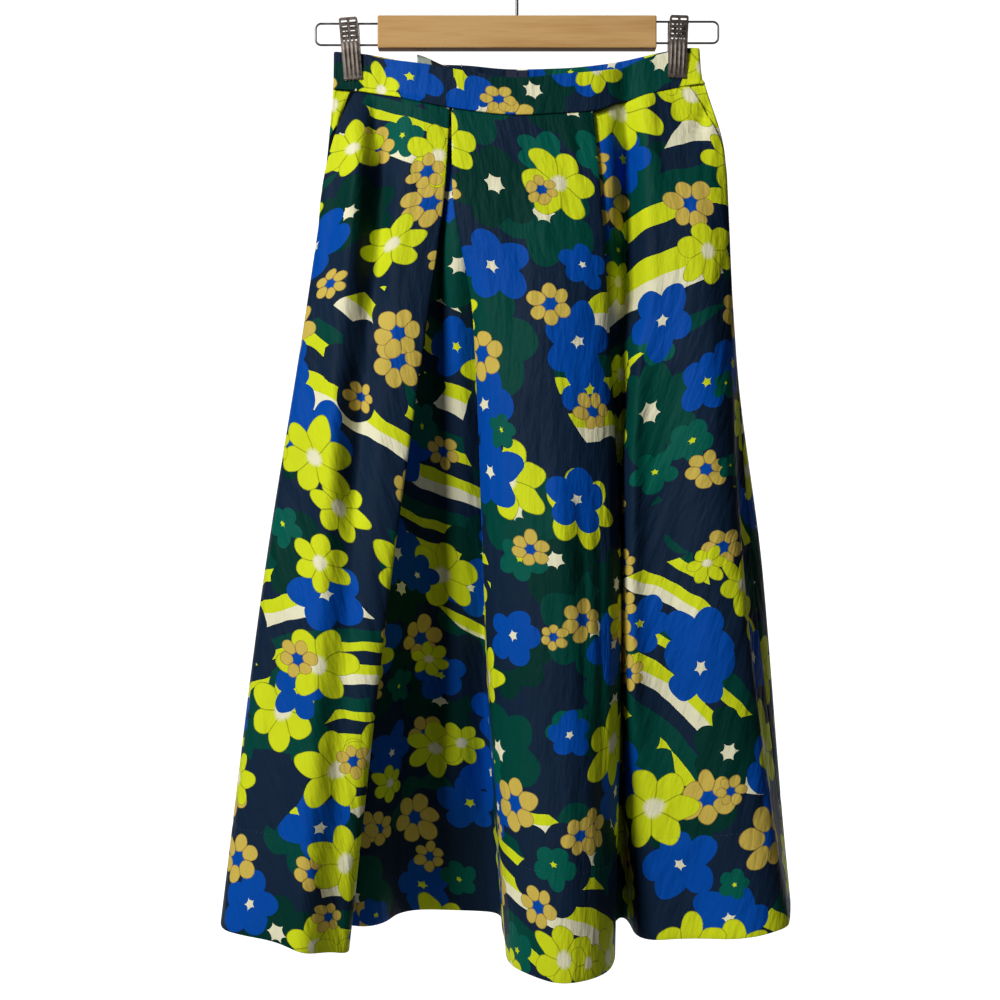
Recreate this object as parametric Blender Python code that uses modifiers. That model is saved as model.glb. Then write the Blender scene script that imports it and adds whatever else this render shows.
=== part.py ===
"""A-line skirt of printed cotton, clipped by its waistband to a wooden bar hanger.

The skirt has a front with one inverted pleat and one knife pleat, two backs that
meet in a zipped centre seam, a waistband in three pieces and two slanted pockets.
The origin is the hang point, the inside top of the hanger's hook. +Z is up, the
front faces -Y, and left means the side at -X. Tables are in millimetres, and the
rest of the script is in metres.
"""
import math
from collections import namedtuple

import bmesh
import bpy
import numpy as np

MM = 0.001

# Cloth. WAIST_GAP is measured upright, and leaves about SEAM_GAP where the seam slopes
CLOTH_WALL = 1.2 * MM
BAND_WALL = 1.6 * MM
SEAM_GAP = 0.3 * MM
WAIST_GAP = 0.45 * MM
SKIRT_LENGTH = 770.0 * MM
SEAM_ROLL = 2.9 * MM
ROLL_GROWTH = 1.5
STATIONS = np.array((0.0, 0.09, 0.25, 0.60, 1.0))
BAND_STATIONS = np.array((0.0, 0.84, 1.0))
FRONT_POINTS = 3
BACK_POINTS = 4
BAND_POINTS = 5
END_COLUMN = 0.1
SKIRT_ROWS = np.array(
    (0.0, 0.035, 0.07, 0.105, 0.135, 0.16, 0.2, 0.25, 0.31, 0.38, 0.46, 0.55, 0.65, 0.76, 0.88, 1.0))
BAND_ROWS = np.array((0.0, 0.3, 0.6, 0.84, 1.0))
HANG_STEPS = 24

# Pockets: how far from the middle each slanted mouth starts on the seam, and how deep it meets the side seam
MOUTHS = {"left": (149.0 * MM, 0.16), "right": (158.0 * MM, 0.13)}
MOUTH_SPREAD = 4.0
FACING_DROP = CLOTH_WALL + 1.2 * MM
FACING_ROWS = 6
FACING_COLUMNS = 11
FACING_BEYOND = 0.55
FACING_START = 0.55

# Zip at the centre back
ZIP_TAPE_HALF = 10.0 * MM
ZIP_TAPE_WALL = 1.0 * MM
ZIP_TAPE_ON_BAND = (0.04, 0.9)
ZIP_TAPE_ON_SKIRT = (0.01, 0.22)
SLIDER_SIZE = (5.0 * MM, 2.4 * MM, 8.0 * MM)
SLIDER_DOWN_BAND = 0.25
SLIDER_ROUND = 0.5 * MM
BRIDGE_OUT = 0.75 * MM
BRIDGE_RISE = 1.0 * MM
BRIDGE_RADIUS = 1.9 * MM
BRIDGE_WIRE = 0.45 * MM
BRIDGE_HALF_TURN = math.radians(140.0)
BRIDGE_POINTS = 13
PULL_SIZE = (4.8 * MM, 0.9 * MM, 19.0 * MM)
PULL_WINDOW = (2.6 * MM, 3.6 * MM, 3.2 * MM)
PULL_BAR = 0.45 * MM
PULL_ROUND = 0.2 * MM

# Hanger
BAR_SIZE = (255.0 * MM, 13.0 * MM, 30.0 * MM)
BAR_TOP = -76.9 * MM
BAR_ROUND = 1.2 * MM
HOOK_WIRE = 1.4 * MM
HOOK_RADIUS = 22.0 * MM
HOOK_SEAT = 12.0 * MM
HOOK_STEM = (4.0 * MM, 12.0 * MM, 20.0 * MM)
HOOK_NECK = (1.4 * MM, 3.0 * MM)
HOOK_TURN = (math.radians(-72.0), math.radians(204.0))
HOOK_POINTS = 19
LOOP_WIRE = 1.0 * MM
LOOP_END = 184.5 * MM
LOOP_CORNER = 5.0 * MM
LOOP_CORNER_POINTS = 6
LOOP_SEAT = 10.0 * MM

# Clips: heights are measured from the lower wire, which is their pivot
CLIP_WIDTH = 17.0 * MM
CLIP_WALL = 0.9 * MM
CLIP_BORE = 2.1 * MM
EAR_SIZE = (0.9 * MM, 9.0 * MM, 6.2 * MM)
EAR_OUT = 2.2 * MM
EAR_RISE = 0.2 * MM
FRONT_EAR_X = 7.9 * MM
BACK_EAR_X = 6.5 * MM
SPRING_WIRE = 0.45 * MM
SPRING_RADIUS = 2.6 * MM
SPRING_PITCH = 1.3 * MM
SPRING_TURNS = 4
SPRING_STEPS = 8
SPRING_LEG = 14.0 * MM
SPRING_LEG_OUT = 7.2 * MM

FoldLine = namedtuple("FoldLine", "name roll seam pocket hip knee hem")
BandLine = namedtuple("BandLine", "name top grip seam")
WaistPoint = namedtuple("WaistPoint", "x front_top front_seam back_top back_seam")
SidePlace = namedtuple("SidePlace", "side sign upper_wire lower_wire clip_x clip_tilt_deg")
ProfilePoint = namedtuple("ProfilePoint", "out height")

# Each row is a line that runs down the cloth from the waistband seam to the hem, as (x, y) at
# five stations. A line with a roll is a folded edge: the cloth doubles back there, and roll is
# how far behind (+) or in front (-) of the line it comes back at the hem.
FRONT_LINES = (
    FoldLine("left corner", 0, (-168.2, -3.4), (-174.6, -5), (-191.4, -8), (-233.8, -12), (-273, -16)),
    FoldLine("left outer", 0, (-160, -2.4), (-166, -9), (-180, -15), (-216, -26), (-246, -34)),
    FoldLine("left clip", 0, (-130, -2.6), (-140, -12), (-152, -22), (-182, -34), (-212, -44)),
    FoldLine("left panel", 0, (-102, -15.2), (-106, -19), (-116, -26), (-146, -40), (-178, -50)),
    FoldLine("left pleat edge", 20, (-61.3, -15.8), (-65.4, -19), (-81.5, -23), (-117.3, -36), (-152.6, -28)),
    FoldLine("left pleat inside", 24, (-88, -12.9), (-90, -14.6), (-98, -12), (-134, 2), (-168, 18)),
    FoldLine("recess step", 0, (-75, -10), (-77, -10.4), (-86, 1), (-112, 28), (-129.5, 56)),
    FoldLine("recess left", 0, (-62, -10), (-63, -10), (-70, 12), (-94, 60), (-111, 108)),
    FoldLine("recess right", 0, (-48, -10), (-49, -10), (-50, 13), (-52, 62), (-43.6, 111)),
    FoldLine("underlay edge", -34, (-33, -10), (-34, -10), (-31, 12), (-30, 57), (-14, 110)),
    FoldLine("centre left edge", -62, (-59.4, -12.9), (-58.6, -15), (-40, -8.5), (-29, 8), (-10.2, 22)),
    FoldLine("centre left", 0, (-35, -16.6), (-32, -20.5), (-15, -31), (-4, -48), (12, -68)),
    FoldLine("centre crest", 0, (5, -16.8), (12, -22.5), (25, -38), (38, -62), (42, -86)),
    FoldLine("centre right", 0, (40, -16.6), (46, -21.5), (60, -33), (76, -46), (78, -58)),
    FoldLine("centre right edge", 50, (68.8, -15.6), (75, -18.8), (82.8, -22), (95.5, -14), (90.4, -10)),
    FoldLine("right pleat inside", 18, (50, -12.7), (55, -13.4), (70, -8), (87, 24), (90, 52)),
    FoldLine("right ridge", 0, (84, -9.6), (84, -13), (88, -5), (92, 45), (96.5, 80)),
    FoldLine("right trough", 0, (96, -8.5), (96, -7), (98, 5), (101, 41), (107.4, 72)),
    FoldLine("right panel edge", 0, (107, -12.5), (105, -19), (106, -22), (99.5, -12), (110.6, -6)),
    FoldLine("right panel", 0, (119, -9.5), (124, -17), (134, -21), (134, -20), (158, -10)),
    FoldLine("right clip", 0, (130, -2.8), (146, -11), (160, -23), (174, -33), (205, -42)),
    FoldLine("right outer", 0, (161, -2.4), (178, -9), (186, -17), (209, -24), (242, -30)),
    FoldLine("right corner", 0, (172.2, -3.4), (190.8, -5), (197.2, -10), (204, 8), (250, -4)),
)

BACK_LEFT_LINES = (
    FoldLine("left corner", 0, (-168.2, 3.4), (-174.8, 8), (-192, 14), (-234.4, 32), (-273, 60)),
    FoldLine("left outer", 0, (-160, 2.4), (-166, 12), (-178, 26), (-212, 66), (-238, 124)),
    FoldLine("left valley", 0, (-130, 2.4), (-134, 13), (-140, 24), (-162, 52), (-188, 88)),
    FoldLine("left ridge", 0, (-95, 10), (-97, 20), (-104, 38), (-122, 92), (-140, 168)),
    FoldLine("centre left", 0, (-45, 13.8), (-45, 20), (-47, 34), (-54, 82), (-62, 146)),
)

BACK_RIGHT_LINES = (
    FoldLine("centre right", 0, (45, 13.8), (45, 20), (47, 34), (54, 82), (62, 146)),
    FoldLine("right ridge", 0, (95, 10), (97, 20), (102, 40), (116, 98), (128, 172)),
    FoldLine("right valley", 0, (127, 2.4), (136, 11), (140, 22), (162, 56), (184, 92)),
    FoldLine("right outer", 0, (161, 2.4), (180, 10), (186, 26), (226, 80), (252, 136)),
    FoldLine("right corner", 0, (172.2, 3.4), (190.8, 6), (197.6, 14), (239, 46), (268, 92)),
)

# The waistband's rings as (x, y) at its top edge, where the jaws grip it, and at its seam
BAND_FRONT_LINES = (
    BandLine("left corner", (-167.2, -2.1), (-167.6, -2.1), (-168.2, -3.4)),
    BandLine("left clip outer", (-161, -1.3), (-161, -1.3), (-160, -2.4)),
    BandLine("left clip inner", (-127, -1.3), (-128, -1.5), (-130, -2.4)),
    BandLine("left", (-98, -10.5), (-98, -12.5), (-100, -15.2)),
    BandLine("centre left", (-40, -15.0), (-40, -16.0), (-40, -16.6)),
    BandLine("centre right", (45, -15.5), (45, -16.4), (45, -16.8)),
    BandLine("right", (88, -12.0), (88, -13.0), (90, -13.4)),
    BandLine("right clip inner", (124, -1.3), (125, -1.5), (127, -2.4)),
    BandLine("right clip outer", (159, -1.3), (160, -1.3), (161, -2.4)),
    BandLine("right corner", (166.5, -2.1), (169, -2.1), (172.2, -3.4)),
)

BAND_BACK_LEFT_LINES = (
    BandLine("left corner", (-167.2, 2.1), (-167.6, 2.1), (-168.2, 3.4)),
    BandLine("left clip outer", (-161, 1.3), (-161, 1.3), (-160, 2.4)),
    BandLine("left clip inner", (-127, 1.3), (-128, 1.5), (-130, 2.4)),
    BandLine("left", (-95, 8.0), (-95, 8.8), (-95, 10.0)),
    BandLine("centre left", (-45, 12.5), (-45, 13.0), (-45, 13.8)),
)

BAND_BACK_RIGHT_LINES = (
    BandLine("centre right", (45, 12.5), (45, 13.0), (45, 13.8)),
    BandLine("right", (95, 8.0), (95, 8.8), (95, 10.0)),
    BandLine("right clip inner", (124, 1.3), (125, 1.5), (127, 2.4)),
    BandLine("right clip outer", (159, 1.3), (160, 1.3), (161, 2.4)),
    BandLine("right corner", (166.5, 2.1), (169, 2.1), (172.2, 3.4)),
)

# How the waist sags between the clips: heights of the band's top edge and of its seam
WAIST = (
    WaistPoint(-169, -109.0, -143.6, -109.0, -143.6),
    WaistPoint(-145, -110.6, -145.6, -109.8, -144.6),
    WaistPoint(-120, -116.6, -150.4, -112.6, -148.0),
    WaistPoint(-80, -123.6, -160.0, -116.6, -151.6),
    WaistPoint(-50, -129.4, -165.6, -119.0, -154.0),
    WaistPoint(0, -136.6, -170.7, -121.4, -156.4),
    WaistPoint(45, -132.6, -168.8, -120.4, -155.2),
    WaistPoint(70, -130.4, -166.6, -118.6, -153.4),
    WaistPoint(92, -126.0, -157.6, -116.2, -151.0),
    WaistPoint(112, -117.6, -151.2, -113.0, -147.6),
    WaistPoint(135, -110.4, -144.8, -108.6, -143.0),
    WaistPoint(160, -105.6, -139.8, -104.8, -139.2),
    WaistPoint(173, -106.6, -138.6, -106.6, -138.6),
)

# The hanger hangs a little higher on its right: its wires' heights, and where each clip sits
SIDES = (
    SidePlace("left", -1, -83.0 * MM, -102.6 * MM, -152.4 * MM, -4.5),
    SidePlace("right", 1, -81.2 * MM, -100.8 * MM, 147.2 * MM, 1.6),
)

# A clip plate seen from its side: its middle line, away from the cloth and above the pivot
PLATE_PROFILE = (
    ProfilePoint(9.9, 22.6),
    ProfilePoint(9.2, 16.0),
    ProfilePoint(7.4, 7.0),
    ProfilePoint(6.6, 0.0),
    ProfilePoint(5.8, -8.0),
    ProfilePoint(4.4, -20.0),
    ProfilePoint(3.0, -29.0),
    ProfilePoint(3.0, -32.5),
)

LABEL_LEFT = -92.0 * MM
LABEL_RIGHT = -62.0 * MM
LABEL_RISE = 6.0 * MM
LABEL_ON_BAND = (0.02, 0.5)
LABEL_WALL = 1.0 * MM


# ---------------------------------------------------------------- scene helpers

def clear_scene():
    """Remove every object of the open file."""
    for thing in list(bpy.data.objects):
        bpy.data.objects.remove(thing, do_unlink=True)


def make_collection(name):
    """Return a new collection of the scene."""
    collection = bpy.data.collections.new(name)
    bpy.context.scene.collection.children.link(collection)
    return collection


def make_material(name, colour, roughness, metallic=0.0):
    """Return a Principled material."""
    material = bpy.data.materials.new(name)
    material.use_nodes = True
    shader = material.node_tree.nodes["Principled BSDF"]
    shader.inputs["Base Color"].default_value = (*colour, 1.0)
    shader.inputs["Roughness"].default_value = roughness
    shader.inputs["Metallic"].default_value = metallic
    return material


def add_object(name, data, material, collection):
    """Link an object made of this mesh or curve and give it its material."""
    thing = bpy.data.objects.new(name, data)
    collection.objects.link(thing)
    if material:
        data.materials.append(material)
    return thing


def add_modifier(thing, kind, name, **settings):
    """Add a modifier with these settings."""
    modifier = thing.modifiers.new(name, kind)
    for key, value in settings.items():
        setattr(modifier, key, value)
    return modifier


def as_mesh(thing, collection):
    """Replace a curve or modified object by its evaluated mesh, with welded caps."""
    graph = bpy.context.evaluated_depsgraph_get()
    mesh = bpy.data.meshes.new_from_object(thing.evaluated_get(graph))
    name = thing.name
    place = thing.matrix_world.copy()
    bpy.data.objects.remove(thing, do_unlink=True)
    solid = bpy.data.objects.new(name, mesh)
    collection.objects.link(solid)
    solid.matrix_world = place
    weld(solid)
    return solid


def weld(thing):
    """Merge the doubled points of a mesh."""
    shape = bmesh.new()
    shape.from_mesh(thing.data)
    bmesh.ops.remove_doubles(shape, verts=shape.verts, dist=0.00001)
    shape.to_mesh(thing.data)
    shape.free()


def tube(name, points, radius, material, collection):
    """A round wire through these points, with closed ends."""
    curve = bpy.data.curves.new(name, "CURVE")
    curve.dimensions = "3D"
    spline = curve.splines.new("POLY")
    spline.points.add(len(points) - 1)
    for target, point in zip(spline.points, points):
        target.co = (*point, 1.0)
    curve.bevel_depth = radius
    curve.bevel_resolution = 2
    curve.use_fill_caps = True
    return add_object(name, curve, material, collection)


def cylinder(name, centre, axis, radius, length, sides, collection):
    """A primitive cylinder along the X or Z axis."""
    turn = {"X": (0.0, math.pi / 2, 0.0), "Z": (0.0, 0.0, 0.0)}[axis]
    bpy.ops.mesh.primitive_cylinder_add(
        vertices=sides, radius=radius, depth=length, location=centre, rotation=turn)
    return adopt(name, collection)


def box(name, centre, size, collection):
    """A primitive box, with its place and size applied to its mesh."""
    bpy.ops.mesh.primitive_cube_add(size=1.0, location=centre)
    solid = adopt(name, collection)
    solid.scale = size
    bpy.ops.object.transform_apply(location=True, rotation=False, scale=True)
    return solid


def adopt(name, collection):
    """Name the object that an operator just made and move it to its collection."""
    thing = bpy.context.object
    thing.name = name
    thing.data.name = name
    for owner in list(thing.users_collection):
        owner.objects.unlink(thing)
    collection.objects.link(thing)
    return thing


def as_cutter(thing):
    """Hide an object that only shapes another."""
    thing.hide_render = True
    thing.display_type = "WIRE"
    return thing


def cut(solid, cutter, operation="DIFFERENCE"):
    """Cut a solid with another one, or join them."""
    add_modifier(solid, "BOOLEAN", operation.lower(), operation=operation, object=as_cutter(cutter))


# ---------------------------------------------------------------- cloth surfaces

def smooth_between(stations, values, t):
    """Read a monotone cubic through values, whose last axis holds the stations, at t."""
    step = np.diff(stations)
    slope = np.diff(values, axis=-1) / step
    before, after = slope[..., :-1], slope[..., 1:]
    same_way = before * after > 0
    total = np.where(same_way, before + after, 1.0)
    tangent = np.empty_like(values)
    tangent[..., 0] = slope[..., 0]
    tangent[..., -1] = slope[..., -1]
    tangent[..., 1:-1] = np.where(same_way, 2.0 * before * after / total, 0.0)
    span = np.clip(np.searchsorted(stations, t, side="right") - 1, 0, len(stations) - 2)
    width = step[span]
    u = (t - stations[span]) / width
    start = values[..., span] * (1 + 2 * u) * (1 - u) ** 2 + tangent[..., span] * width * u * (1 - u) ** 2
    end = values[..., span + 1] * u * u * (3 - 2 * u) + tangent[..., span + 1] * width * u * u * (u - 1)
    return start + end


def waist_height(column, x):
    """Height of one of the waist's edges at these places across, in metres."""
    places = np.array([row.x for row in WAIST]) * MM
    heights = np.array([getattr(row, column) for row in WAIST]) * MM
    return smooth_between(places, heights, np.clip(x, places[0], places[-1]))


def middle_of(line_a, line_b):
    """The points half way between two lines, where two pieces are sewn together."""
    return (line_a + line_b) / 2.0


def paths_of(lines):
    """The (x, y) of each line at its stations, as an array of lines, axes and stations."""
    table = np.array([[point for point in line if isinstance(point, tuple)] for line in lines])
    return table.transpose(0, 2, 1) * MM


class Cloth:
    """A piece of cloth between two seams, read at s across its lines and t down them."""

    def __init__(self, lines, first_seam, last_seam, stations, side):
        self.side = side
        self.rolls = [getattr(line, "roll", 0) * MM for line in lines]
        self.paths = paths_of(lines)
        self.first_seam = first_seam
        self.last_seam = last_seam
        self.stations = stations
        self.reach = len(self.controls(np.zeros(1))) - 2.0

    def controls(self, t):
        """The section's control points at each t: first seam, lines with their rolls, last seam."""
        rows = [smooth_between(self.stations, self.first_seam, t)]
        for path, roll in zip(self.paths, self.rolls):
            place = smooth_between(self.stations, path, t)
            rows.append(place)
            if roll:
                seam_roll = math.copysign(SEAM_ROLL, roll)
                depth = seam_roll + (roll - seam_roll) * t ** ROLL_GROWTH
                rows.append(place + np.array([np.zeros_like(t), depth]))
        rows.append(smooth_between(self.stations, self.last_seam, t))
        return np.array(rows)

    def plan(self, s, t):
        """The (x, y) on the quadratic spline that the control points make at t."""
        points = self.controls(t)
        count = len(points)
        span = np.clip(np.floor(s).astype(int), 0, count - 3)
        u = s - span
        each = np.arange(len(t))
        before = points[span, :, each]
        bend = points[span + 1, :, each]
        after = points[span + 2, :, each]
        start = np.where((span == 0)[:, None], before, (before + bend) / 2.0)
        end = np.where((span == count - 3)[:, None], after, (bend + after) / 2.0)
        u = u[:, None]
        return start * (1 - u) ** 2 + 2 * bend * u * (1 - u) + end * u ** 2

    def edge_gap(self, t, at_end=False):
        """How much of s half a seam gap takes at one end."""
        points = self.controls(t)
        reach = points[-1] - points[-2] if at_end else points[1] - points[0]
        return SEAM_GAP / 2.0 / (2.0 * np.linalg.norm(reach, axis=0))


class SkirtPanel(Cloth):
    """Cloth that hangs from the waistband seam, each of its lines one skirt length long."""

    def __init__(self, lines, first_seam, last_seam, side):
        super().__init__(lines, first_seam, last_seam, STATIONS, side)

    def place(self, s, t):
        """The points at s and t, which hang down as far as the line's run aside allows."""
        last = self.plan(s, np.zeros_like(t))
        height = waist_height(self.side + "_seam", last[:, 0]) - WAIST_GAP / 2.0
        for step in range(1, HANG_STEPS + 1):
            here = self.plan(s, t * step / HANG_STEPS)
            aside = np.linalg.norm(here - last, axis=1)
            along = SKIRT_LENGTH * t / HANG_STEPS
            height = height - np.sqrt(np.maximum(along ** 2 - aside ** 2, 0.0))
            last = here
        return np.column_stack((last, height))


class BandPanel(Cloth):
    """Waistband cloth, between the sagging top edge and the waistband seam."""

    def __init__(self, lines, first_seam, last_seam, side):
        super().__init__(lines, first_seam, last_seam, BAND_STATIONS, side)

    def place(self, s, t):
        """The points at s and t, from the top edge at 0 to the seam at 1."""
        across = self.plan(s, t)
        top = waist_height(self.side + "_top", across[:, 0])
        seam = waist_height(self.side + "_seam", across[:, 0]) + WAIST_GAP / 2.0
        return np.column_stack((across, top + (seam - top) * t))


def grid_points(cloth, s_grid, t_grid, inward=0.0):
    """Points of the cloth for two grids of s and t, moved off it towards the skirt's inside."""
    shape = s_grid.shape
    s = s_grid.ravel()
    t = t_grid.ravel()
    points = cloth.place(s, t)
    if inward:
        small = 0.002
        s_back = np.clip(s - small, 0.0, None)
        s_on = np.clip(s + small, None, cloth.reach)
        across = cloth.place(s_on, t) - cloth.place(s_back, t)
        t_up = np.clip(t - small, 0.0, None)
        t_down = np.clip(t + small, None, 1.0)
        down = cloth.place(s, t_down) - cloth.place(s, t_up)
        inner = np.cross(across, down)
        if cloth.side == "back":
            inner = -inner
        points = points + inner / np.linalg.norm(inner, axis=1)[:, None] * inward
    return points.reshape(*shape, 3)


def sheet_object(name, points, wall, material, collection):
    """A wall of cloth through a grid of points, rows down and columns across."""
    rows, columns = points.shape[:2]
    faces = []
    for row in range(rows - 1):
        for column in range(columns - 1):
            corner = row * columns + column
            faces.append((corner, corner + 1, corner + columns + 1, corner + columns))
    mesh = bpy.data.meshes.new(name)
    mesh.from_pydata(points.reshape(-1, 3).tolist(), [], faces)
    mesh.shade_smooth()
    sheet = add_object(name, mesh, material, collection)
    add_modifier(sheet, "SOLIDIFY", "wall", thickness=wall, offset=0.0)
    return sheet


def panel_grids(cloth, t, points_per_line):
    """Grids of s and t for a whole piece, stopped half a seam gap short of its ends."""
    s = np.linspace(0.0, cloth.reach, int(cloth.reach) * points_per_line + 1)
    s = np.insert(s, (1, len(s) - 1), (END_COLUMN, cloth.reach - END_COLUMN))
    t_grid, s_grid = np.meshgrid(t, s, indexing="ij")
    s_grid[:, 0] = cloth.edge_gap(t)
    s_grid[:, -1] = cloth.reach - cloth.edge_gap(t, at_end=True)
    return s_grid, t_grid


def mouth_s(front, side):
    """Where the pocket's mouth starts on the seam, as a distance in s from that side's end."""
    s = np.linspace(0.0, front.reach, 400)
    x = front.plan(s, np.zeros_like(s))[:, 0]
    mouth_x = MOUTHS[side][0]
    if side == "left":
        return s[np.argmax(x > -mouth_x)]
    return front.reach - s[len(s) - 1 - np.argmax(x[::-1] < mouth_x)]


def mouth_slant(side, t):
    """How much of the mouth's width at the seam is left at each depth t."""
    return np.clip(1.0 - t / MOUTHS[side][1], 0.0, 1.0)


def cut_mouths(front, s_grid, t_grid):
    """Draw the front's upper corners back to the slanted pocket mouths."""
    left = s_grid.copy()
    near_left = np.clip(1.0 - left / MOUTH_SPREAD, 0.0, 1.0)
    s_grid += mouth_s(front, "left") * mouth_slant("left", t_grid) * near_left
    near_right = np.clip(1.0 - (front.reach - left) / MOUTH_SPREAD, 0.0, 1.0)
    s_grid -= mouth_s(front, "right") * mouth_slant("right", t_grid) * near_right


# ---------------------------------------------------------------- the garment

def make_skirt(front, backs, collection, cloth_paint):
    """The front with its pocket mouths cut, and the two backs."""
    s_grid, t_grid = panel_grids(front, SKIRT_ROWS, FRONT_POINTS)
    cut_mouths(front, s_grid, t_grid)
    sheet_object("skirt_front", grid_points(front, s_grid, t_grid), CLOTH_WALL, cloth_paint, collection)
    for side, back in backs.items():
        points = grid_points(back, *panel_grids(back, SKIRT_ROWS, BACK_POINTS))
        sheet_object("skirt_back_" + side, points, CLOTH_WALL, cloth_paint, collection)


def make_pocket_facings(front, collection, cloth_paint):
    """The cloth that shows in each pocket mouth, one layer behind the front."""
    t = SKIRT_ROWS[:FACING_ROWS]
    across = np.linspace(0.0, 1.0, FACING_COLUMNS)
    t_grid, share = np.meshgrid(t, across, indexing="ij")
    for side, origin, way in (("left", 0.0, 1.0), ("right", front.reach, -1.0)):
        width = mouth_s(front, side) * mouth_slant(side, t_grid) + FACING_BEYOND
        s_grid = origin + way * (FACING_START + share * width)
        points = grid_points(front, s_grid, t_grid, inward=FACING_DROP)
        sheet_object("pocket_facing_" + side, points, CLOTH_WALL, cloth_paint, collection)


def make_waistband(bands, collection, cloth_paint):
    """The front band and the two back bands."""
    for name, band in bands.items():
        points = grid_points(band, *panel_grids(band, BAND_ROWS, BAND_POINTS))
        sheet_object("waistband_" + name, points, BAND_WALL, cloth_paint, collection)


def strip_behind(cloth, x_from, x_to, t_span, size, inward):
    """Points on the inner side of a piece, between two places across and two down."""
    rows, columns = size
    t = np.linspace(*t_span, rows)
    x = np.linspace(x_from, x_to, columns)
    s = np.linspace(0.0, cloth.reach, 600)
    s_grid = np.empty((rows, columns))
    for row, level in enumerate(t):
        plan_x = cloth.plan(s, np.full_like(s, level))[:, 0]
        s_grid[row] = np.interp(x, plan_x, s)
    t_grid = np.repeat(t[:, None], columns, axis=1)
    return grid_points(cloth, s_grid, t_grid, inward=inward)


def make_zip_tape(backs, bands, collection, tape_paint):
    """The tape behind the centre back, from the band's top edge down past the zip's end."""
    halves = []
    for side, x_from, x_to in (("left", -ZIP_TAPE_HALF, 0.0), ("right", 0.0, ZIP_TAPE_HALF)):
        inward = BAND_WALL / 2.0 + SEAM_GAP + ZIP_TAPE_WALL / 2.0
        band = strip_behind(bands["back_" + side], x_from, x_to, ZIP_TAPE_ON_BAND, (3, 3), inward)
        skirt = strip_behind(backs[side], x_from, x_to, ZIP_TAPE_ON_SKIRT, (7, 3), inward)
        halves.append(np.concatenate((band, skirt)))
    points = np.concatenate((halves[0][:, :-1], halves[1]), axis=1)
    sheet_object("zip_tape", points, ZIP_TAPE_WALL, tape_paint, collection)


def make_zip_slider(band_left, collection, metal):
    """The slider at the top of the zip, its bridge, and the pull that hangs from the bridge."""
    top = band_left.place(np.array([band_left.reach]), np.array([SLIDER_DOWN_BAND]))[0]
    face_y = top[1] + BAND_WALL / 2.0 + SEAM_GAP
    centre_y = face_y + SLIDER_SIZE[1] / 2.0
    centre_z = top[2]
    slider = box("zip_slider", (0.0, centre_y, centre_z), SLIDER_SIZE, collection)
    slider.data.materials.append(metal)
    add_modifier(slider, "BEVEL", "rounding", width=SLIDER_ROUND, segments=2)

    hinge_y = face_y + SLIDER_SIZE[1] + BRIDGE_OUT
    hinge_z = centre_z + BRIDGE_RISE
    bridge_points = []
    for angle in np.linspace(-BRIDGE_HALF_TURN, BRIDGE_HALF_TURN, BRIDGE_POINTS):
        bridge_points.append(
            (0.0, hinge_y + BRIDGE_RADIUS * math.cos(angle), hinge_z + BRIDGE_RADIUS * math.sin(angle)))
    bridge = as_mesh(tube("zip_bridge", bridge_points, BRIDGE_WIRE, None, collection), collection)
    cut(slider, bridge, "UNION")

    pull = box("zip_pull", (0.0, 0.0, PULL_BAR - PULL_SIZE[2] / 2.0), PULL_SIZE, collection)
    pull.data.materials.append(metal)
    add_modifier(pull, "BEVEL", "rounding", width=PULL_ROUND, segments=1)
    window_centre = (0.0, 0.0, -PULL_BAR - PULL_WINDOW[2] / 2.0)
    window = box("zip_pull_window", window_centre, PULL_WINDOW, collection)
    cut(pull, window)
    window.parent = pull
    pull.location = (0.0, hinge_y, hinge_z)


def make_label(band, collection, label_paint):
    """A blank folded label on the inner side of the back band, standing up past its top edge."""
    drop = BAND_WALL / 2.0 + SEAM_GAP + LABEL_WALL / 2.0
    on_band = strip_behind(band, LABEL_LEFT, LABEL_RIGHT, LABEL_ON_BAND, (3, 5), drop)
    free_edge = on_band[0].copy()
    free_edge[:, 2] += LABEL_RISE
    middle = (free_edge + on_band[0]) / 2.0
    points = np.concatenate((free_edge[None], middle[None], on_band))
    sheet_object("inside_label", points, LABEL_WALL, label_paint, collection)


# ---------------------------------------------------------------- the hanger

def make_bar(collection, wood):
    """The wooden bar, drilled for the hook and for the four wire ends."""
    centre_z = BAR_TOP - BAR_SIZE[2] / 2.0
    bar = box("hanger_bar", (0.0, 0.0, centre_z), BAR_SIZE, collection)
    bar.data.materials.append(wood)
    add_modifier(bar, "BEVEL", "rounding", width=BAR_ROUND, segments=2)
    seat = cylinder(
        "hook_drill", (0.0, 0.0, BAR_TOP), "Z", HOOK_WIRE + SEAM_GAP, 2.0 * HOOK_SEAT, 16, collection)
    cut(bar, seat)
    for place in SIDES:
        for height in (place.upper_wire, place.lower_wire):
            centre = (place.sign * BAR_SIZE[0] / 2.0, 0.0, height)
            drill = cylinder("wire_drill", centre, "X", LOOP_WIRE + SEAM_GAP, 2.0 * LOOP_SEAT, 12, collection)
            cut(bar, drill)


def make_hook(collection, steel):
    """A wire hook whose inside top is the origin, with its foot in the bar."""
    centre_z = -HOOK_RADIUS
    bend = HOOK_RADIUS + HOOK_WIRE
    points = [(0.0, 0.0, BAR_TOP - HOOK_SEAT + SEAM_GAP)]
    for rise in HOOK_STEM:
        points.append((0.0, 0.0, BAR_TOP + rise))
    points.append((HOOK_NECK[0], 0.0, centre_z - bend - HOOK_NECK[1]))
    for angle in np.linspace(*HOOK_TURN, HOOK_POINTS):
        points.append((bend * math.cos(angle), 0.0, centre_z + bend * math.sin(angle)))
    tube("hanger_hook", points, HOOK_WIRE, steel, collection)


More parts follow.
